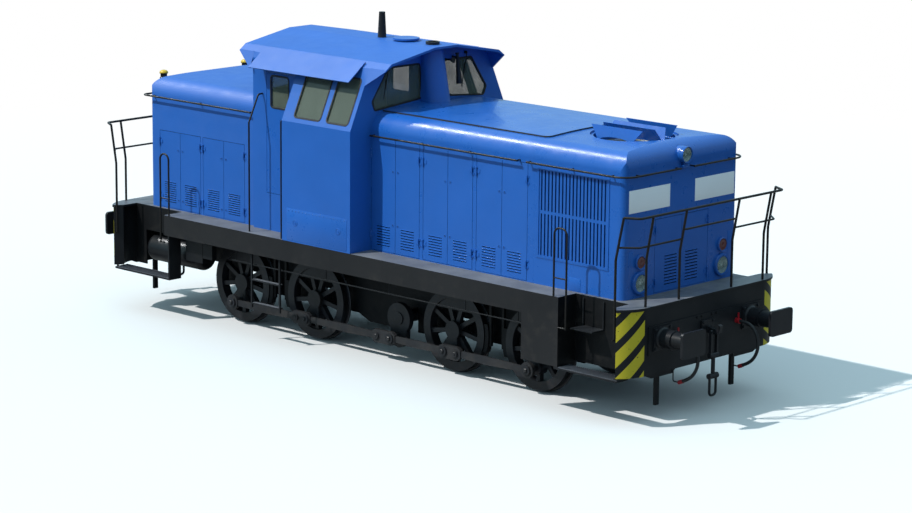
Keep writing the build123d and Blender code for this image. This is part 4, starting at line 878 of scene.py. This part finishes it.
def rounded(points, r):
    """Flat outline with its corners rounded by r."""
    out = []
    count, steps = len(points), 4
    for i in range(count):
        a, b, c = (Vector(points[(i + k) % count]) for k in (-1, 0, 1))
        u, v = (a - b).normalized(), (c - b).normalized()
        half = u.angle(v) / 2
        reach = r / (sin(half) / cos(half))
        middle = b + (u + v).normalized() * (r / sin(half))
        p, q = b + u * reach - middle, b + v * reach - middle
        for k in range(steps + 1):
            out.append(middle + p.lerp(q, k / steps).normalized() * r)
    return out


def pane(x, z):
    """Outline of a rectangular window."""
    return rounded(((x[0], z[0]), (x[1], z[0]), (x[1], z[1]), (x[0], z[1])), CORNER_R)


seals = Piece("window_seals")
for end in ENDS:
    for side, _ in SIDES:
        outline = [(CAB_END[end], side * p.x, rail(p.y)) for p in rounded(END_WINDOW, 0.038)]
        seals.strip(outline, (end, 0, 0), *SEAL, rubber)
for side, _ in SIDES:
    for span in SIDE_WINDOWS:
        outline = [(p.x, side * (SIDE_Y - LEAN * (p.y - KNEE_Z)), rail(p.y)) for p in pane(span, SIDE_WINDOW_Z)]
        seals.strip(outline, (0, side, LEAN), *SEAL, rubber)
seals.done()

for side, word in SIDES:
    door_seal = Piece("door_window_seal_" + word)
    (x0, x1), (z0, z1) = DOOR_WINDOW
    outline = [(p.x, side * DOOR_Y, rail(p.y)) for p in pane(*DOOR_WINDOW)]
    door_seal.strip(outline, (0, side, 0), *SEAL, rubber)
    door_seal.box((x0 - 0.012, x1 + 0.012), across(side, DOOR_Y - 0.022, DOOR_Y - 0.017),
                  heights(z0 - 0.012, z1 + 0.012), window_glass)
    door_seal.done("cab_door_" + word)

WIPERS = {-1: ((0.845, 3.900), (0.900, 3.523)), 1: ((0.680, 4.010), (0.606, 3.544))}   # pivot, tip (y, row z)
wipers = Piece("wipers")
for end in ENDS:
    x = CAB_END[end]
    for side, _ in SIDES:
        (pivot_y, pivot_z), (tip_y, tip_z) = WIPERS[side]
        top = Vector((x + end * 0.032, side * pivot_y, pivot_z))
        tip = Vector((x + end * 0.014, side * tip_y, tip_z))
        wipers.lathe((x, top.y, top.z), (end, 0, 0),
                     [(0.022, -0.002), (0.022, 0.020), (0.010, 0.036), (0, 0.036)], rail_paint, 16)
        grip = top.lerp(tip, 0.62)
        wipers.rod(top, grip + Vector((end * 0.008, 0, 0)), 0.006, rail_paint)
        wipers.rod(top.lerp(tip, 0.30) - Vector((end * 0.010, 0, 0)), tip, 0.007, rubber)
wipers.done()

# ---- bolts, nuts and plates on the ends ----
BUFFER_BOLTS = [(dy, dz) for dy in (-0.140, 0.140) for dz in (-0.120, 0.120)]
HOOK_BOLTS = [(dy, dz) for dy in (-0.095, 0.095) for dz in (-0.085, 0.085)]
fixings = Piece("end_fixings")
for end in ENDS:
    x = end * (HEAD_X + 0.012)
    for side, _ in SIDES:
        for k in range(2):
            fixings.bolt((x, side * (0.10 + 0.090 * k), rail(1.212)), (end, 0, 0), 0.014, black_paint)
        for dy, dz in BUFFER_BOLTS:
            fixings.bolt((end * (HEAD_X + 0.030), side * BUFFER_Y + dy, rail(BUFFER_Z + dz)), (end, 0, 0),
                         0.018, buffer_paint)
        fixings.lathe((end * (HEAD_X + 0.205), side * BUFFER_Y, rail(BUFFER_Z)), (end, 0, 0),
                      [(0.118, 0), (0.124, 0.004), (0.124, 0.026), (0.106, 0.030)], buffer_paint, 40)
        fixings.lathe((end * (HEAD_X + 0.030), side * BUFFER_Y, rail(BUFFER_Z)), (end, 0, 0),
                      [(0.140, 0), (0.138, 0.010), (0.119, 0.028)], buffer_paint, 40)
    for dy, dz in HOOK_BOLTS:
        fixings.bolt((end * (HEAD_X + 0.040), dy, rail(HOOK_Z + dz)), (end, 0, 0), 0.016, buffer_paint)
fixings.done()

CRANK = 0.250                        # the left rod stands low, the right one forward
ROD_Z = {-1: rail(WHEEL_R - CRANK), 1: rail(WHEEL_R)}
ROD_DX = {-1: 0.0, 1: CRANK}
KNUCKLES = (AXLE_X[1] - 0.182, JACKSHAFT_X - 0.252, AXLE_X[2] + 0.217)
# places, plate, its steps, how far the bolt stands off, bolt radius
ROD_NUTS = ((AXLE_X + (JACKSHAFT_X,), [(0.066, -0.002), (0.066, 0.008), (0.056, 0.014), (0, 0.014)],
             32, 0.012, 0.030),
            (KNUCKLES, [(0.046, -0.002), (0.046, 0.007), (0, 0.007)], 28, 0.006, 0.024))
for side, word in SIDES:
    nuts = Piece("rod_fixings_" + word)
    for places, plate, steps, proud, r in ROD_NUTS:
        for x in places:
            x, z = x + ROD_DX[side], ROD_Z[side]
            nuts.lathe((x, side * ROD_FACE_Y, z), (0, side, 0), plate, rod_paint, steps)
            nuts.bolt((x, side * (ROD_FACE_Y + proud), z), (0, side, 0), r, rod_paint)
    nuts.done("side_rods_" + word)

# ---- radiator fronts behind the side grilles, their blue darkened by painted shade ----
GRILLE_X, GRILLE_Z, CORE_Y = (3.062, 4.218), (1.860, 2.985), (1.074, 1.086)
fins = Shader("radiator_fins")
# the pleats are a real relief (the bump) and also painted light and shade, as darker and lighter stripes
pleat_relief_and_shade = fins.math("SINE", fins.math("MULTIPLY", fins.axis("Z"), 520.0))
# painted shade: the radiator blue is darkened behind the grille, with painted light and shade striped along the
# pleats
fins.colour(fins.mix(fins.remap(pleat_relief_and_shade, -1.0, 1.0), shade(BLUE, 0.22), shade(BLUE, 0.42)))
fins.set("Roughness", fins.remap(fins.noise(6.0), 0.3, 0.7, 0.50, 0.65))
fins.bump(pleat_relief_and_shade, 0.002, 0.5)
cores = Piece("radiator_cores")
for side, _ in SIDES:
    cores.box((GRILLE_X[0] + 0.004, GRILLE_X[1] - 0.004), across(side, *CORE_Y),
              heights(GRILLE_Z[0] - 0.030, GRILLE_Z[1] + 0.030), fins.mat, 0.002)
cores.done()

# ---- treads ----
TREAD_TOP, TREAD_Y, TREAD_PITCH = 0.590, 1.401, 0.034
TREADS_X = ((3.72, 4.72), (-4.72, -3.62))
bar = unit("tread_bar",
           lambda piece: piece.box((-0.004, 0.004), (-0.104, 0.104), (0.0, 0.010), step_paint, 0.001))
runs = []
for side, _ in SIDES:
    for x0, x1 in TREADS_X:
        start = (x0, side * TREAD_Y, rail(TREAD_TOP - 0.001))
        runs.append((bar, int((x1 - x0) / TREAD_PITCH), start, (TREAD_PITCH, 0, 0)))
rows("step_gratings", BODY, step_paint, runs)

# ---- fan under the shutters ----
FAN_X, FAN_Z = 3.675, rail(3.120)
FAN_BLADES, GUARD_RINGS = 10, 9
BLADE = ((0.115, 0.070, 0.55), (0.30, 0.085, 0.42), (0.495, 0.095, 0.30))      # radius, half width, twist
fan = Piece("cooling_fan")
for k in range(FAN_BLADES):
    turn = Matrix.Rotation(2 * pi * k / FAN_BLADES, 3, "Z")
    pts = []
    for r, half, twist in BLADE:
        for s in (-1, 1):
            p = Vector((r, s * half * cos(twist), s * half * sin(twist)))
            pts.append(turn @ p + Vector((FAN_X, 0, FAN_Z)))
    fan.faces(pts, [(0, 1, 3, 2), (2, 3, 5, 4)], engine_paint)
fan.lathe((FAN_X, 0, FAN_Z - 0.060), (0, 0, 1),
          [(0, 0), (0.118, 0), (0.122, 0.012), (0.122, 0.122), (0.118, 0.126)], engine_paint, 36)
WIRE = 0.0035                        # half thickness of the guard's wires
for k in range(GUARD_RINGS):
    r = 0.145 + 0.045 * k
    fan.lathe((FAN_X, 0, FAN_Z + 0.102), (0, 0, 1),
              [(r - WIRE, 0), (r, WIRE), (r + WIRE, 0), (r, -WIRE), (r - WIRE, 0)], guard_mesh, 56)
fan.done()

# ---- cab inside ----
FLOOR_Z = 1.990
SEAT_Y = 1.040


def cab(z):
    """Row height of a point that is z above the cab floor."""
    return rail(FLOOR_Z + z)


inside = Piece("cab_controls")
desk_grey = paint("desk_grey", (0.16, 0.18, 0.17), rough=0.45)
dial_face = paint("dial_face", (0.55, 0.55, 0.50), rough=0.3)
inside.box((-0.650, -0.050), (-0.520, 0.520), (cab(0), cab(0.870)), desk_grey, 0.020)
inside.box((-0.648, -0.052), (-0.518, 0.518), (cab(0.860), cab(0.948)), inside_paint, 0.025)
for side, _ in SIDES:
    for k in range(3):
        inside.lathe((-0.330 + 0.002 * k, side * (0.160 + 0.115 * k), cab(0.9475)), (0, 0, 1),
                     [(0.046, 0), (0.046, 0.008), (0.040, 0.010), (0.040, 0.006), (0, 0.006)], dial_face, 24)
    inside.lathe((-0.500, side * 0.330, cab(0.946)), (0, 0, 1),
                 [(0.030, 0), (0.024, 0.020), (0.010, 0.026), (0.009, 0.090), (0.020, 0.100), (0.020, 0.118),
                  (0, 0.124)], rail_paint, 24)
    y = side * SEAT_Y
    inside.lathe((-0.760, y, cab(0)), (0, 0, 1), [(0.060, 0), (0.060, 0.020), (0.038, 0.050), (0.038, 0.380),
                                                  (0.058, 0.420), (0.058, 0.480)], desk_grey, 28)
    inside.box((-0.950, -0.570), (y - 0.190, y + 0.190), (cab(0.470), cab(0.490)), desk_grey, 0.004)
    inside.box((-0.979, -0.962), (y - 0.150, y + 0.150), (cab(0.480), cab(0.900)), desk_grey, 0.006)
inside.done(replaces=("cab_furniture",))

seat_cloth = Shader("seat_cloth")
weave = seat_cloth.cells(420.0)
seat_cloth.colour(seat_cloth.mix(weave, (0.028, 0.030, 0.034), (0.060, 0.062, 0.070)))
seat_cloth.set("Roughness", 0.85)
seat_cloth.bump(weave, 0.0012, 0.6)


def cushion(name, centre, size, normal_axis):
    """Crowned pad that thins towards its edges; normal_axis 2 lies flat, 0 stands upright."""
    steps = 14
    pad = Piece(name)
    pts, quads = [], []
    for face in (1, -1):
        for i in range(steps + 1):
            for j in range(steps + 1):
                u, v = 2 * i / steps - 1, 2 * j / steps - 1
                thick = ((1 - u ** 4) * (1 - v ** 4)) ** 0.4
                pull = 1 - 0.03 * (u * u * v * v)
                seam = 0.93 if abs(abs(u) - 0.43) < 0.08 else 1.0
                local = (u * pull / 2, v * pull / 2, face * thick * seam / 2)
                if normal_axis == 0:
                    local = local[::-1]
                pts.append([c + s * q for c, s, q in zip(centre, size, local)])
    row = steps + 1
    for face in (0, 1):
        for i in range(steps):
            for j in range(steps):
                a = face * row * row + i * row + j
                quads.append((a, a + 1, a + row + 1, a + row) if face else (a, a + row, a + row + 1, a + 1))
    pad.faces(pts, quads, seat_cloth.mat)
    bmesh.ops.remove_doubles(pad.bm, verts=pad.bm.verts, dist=0.0005)
    obj = pad.done(sharp=80.0)


for side, word in SIDES:
    cushion("seat_pad_" + word, (-0.750, side * SEAT_Y, cab(0.520)), (0.400, 0.420, 0.078), 2)
    cushion("seat_back_" + word, (-0.935, side * SEAT_Y, cab(0.740)), (0.070, 0.400, 0.400), 0)

for obj in units:
    bpy.data.objects.remove(obj)

# ---- light, backdrop and floor ----
SUN_TRAVEL = (0.30, 0.545, -0.745)
SUN_POWER, SUN_SPREAD = 3.5, 1.0
GLEAM_TRAVEL, GLEAM_POWER, GLEAM_SPREAD = (0.693, 0.180, -0.675), 1.3, 2.0     # lights only the gloss
SKY_FRONT, SKY_BACK, SKY_HIGH = (0.13, 0.20, 0.30), (0.36, 0.60, 0.72), (0.62, 0.90, 1.02)


def add_sun(name, travel, power, spread):
    light = bpy.data.lights.new(name, "SUN")
    light.energy, light.angle = power, radians(spread)
    lamp = add_object(name, light, smooth=False)
    lamp.rotation_euler = Vector(travel).to_track_quat("-Z", "Y").to_euler()
    return lamp


add_sun("sun", SUN_TRAVEL, SUN_POWER, SUN_SPREAD).data.color = (1.0, 0.985, 0.96)
add_sun("gleam", GLEAM_TRAVEL, GLEAM_POWER, GLEAM_SPREAD).visible_diffuse = False

world = bpy.data.worlds.new("studio")
bpy.context.scene.world = world
world.use_nodes = True
tree = world.node_tree
tree.nodes.clear()


def world_node(kind, **values):
    """Node of the world; a value named i3 is set on input 3."""
    node = tree.nodes.new("ShaderNode" + kind)
    for index, value in values.items():
        node.inputs[int(index[1:])].default_value = value
    return node


aim, height = world_node("TexCoord"), world_node("SeparateXYZ")
ramp, turn = world_node("MapRange", i1=0.0, i2=0.9), world_node("MapRange", i1=0.7, i2=-0.7)
sky, low_sky = world_node("Mix"), world_node("Mix")
for mixer in (sky, low_sky):
    mixer.data_type = "RGBA"
sky.inputs[7].default_value = (*SKY_HIGH, 1.0)
low_sky.inputs[6].default_value, low_sky.inputs[7].default_value = (*SKY_FRONT, 1.0), (*SKY_BACK, 1.0)
fill, white = world_node("Background"), world_node("Background", i0=(1.0, 1.0, 1.0, 1.0))
path, pick, world_end = world_node("LightPath"), world_node("MixShader"), world_node("OutputWorld")
for start, end in ((aim.outputs["Generated"], height.inputs[0]), (height.outputs["Z"], ramp.inputs[0]),
                   (height.outputs["X"], turn.inputs[0]), (turn.outputs["Result"], low_sky.inputs[0]),
                   (low_sky.outputs[2], sky.inputs[6]), (ramp.outputs["Result"], sky.inputs[0]),
                   (sky.outputs[2], fill.inputs[0]), (path.outputs["Is Camera Ray"], pick.inputs[0]),
                   (fill.outputs[0], pick.inputs[1]), (white.outputs[0], pick.inputs[2]),
                   (pick.outputs[0], world_end.inputs[0])):
    tree.links.new(start, end)

FLOOR_R, FADE = 150.0, (8.0, 22.0)   # the grey floor fades to white between these distances
floor_look = Shader("floor_paint")
fade = floor_look.remap(floor_look.distance(floor_look.axis("X"), floor_look.axis("Y")), *FADE)
seen = floor_look.add("ShaderNodeLightPath").outputs["Is Camera Ray"]
pale = floor_look.mix(seen, (0.24, 0.24, 0.24), (0.70, 0.70, 0.70))
floor_look.colour(floor_look.mix(fade, pale, (0.0, 0.0, 0.0)))
for key, value in (("Roughness", 0.9), ("Specular IOR Level", 0.0), ("Emission Color", (1.0, 1.0, 1.0)),
                   ("Emission Strength", floor_look.both(fade, seen))):
    floor_look.set(key, value)
floor_mesh = bmesh.new()
bmesh.ops.create_circle(floor_mesh, cap_ends=True, segments=96, radius=FLOOR_R)
mesh = bake("floor", floor_mesh)
mesh.materials.append(floor_look.mat)
floor = add_object("floor", mesh, smooth=False)
floor.location.z = -0.001

bpy.context.scene.view_settings.view_transform = "Standard"
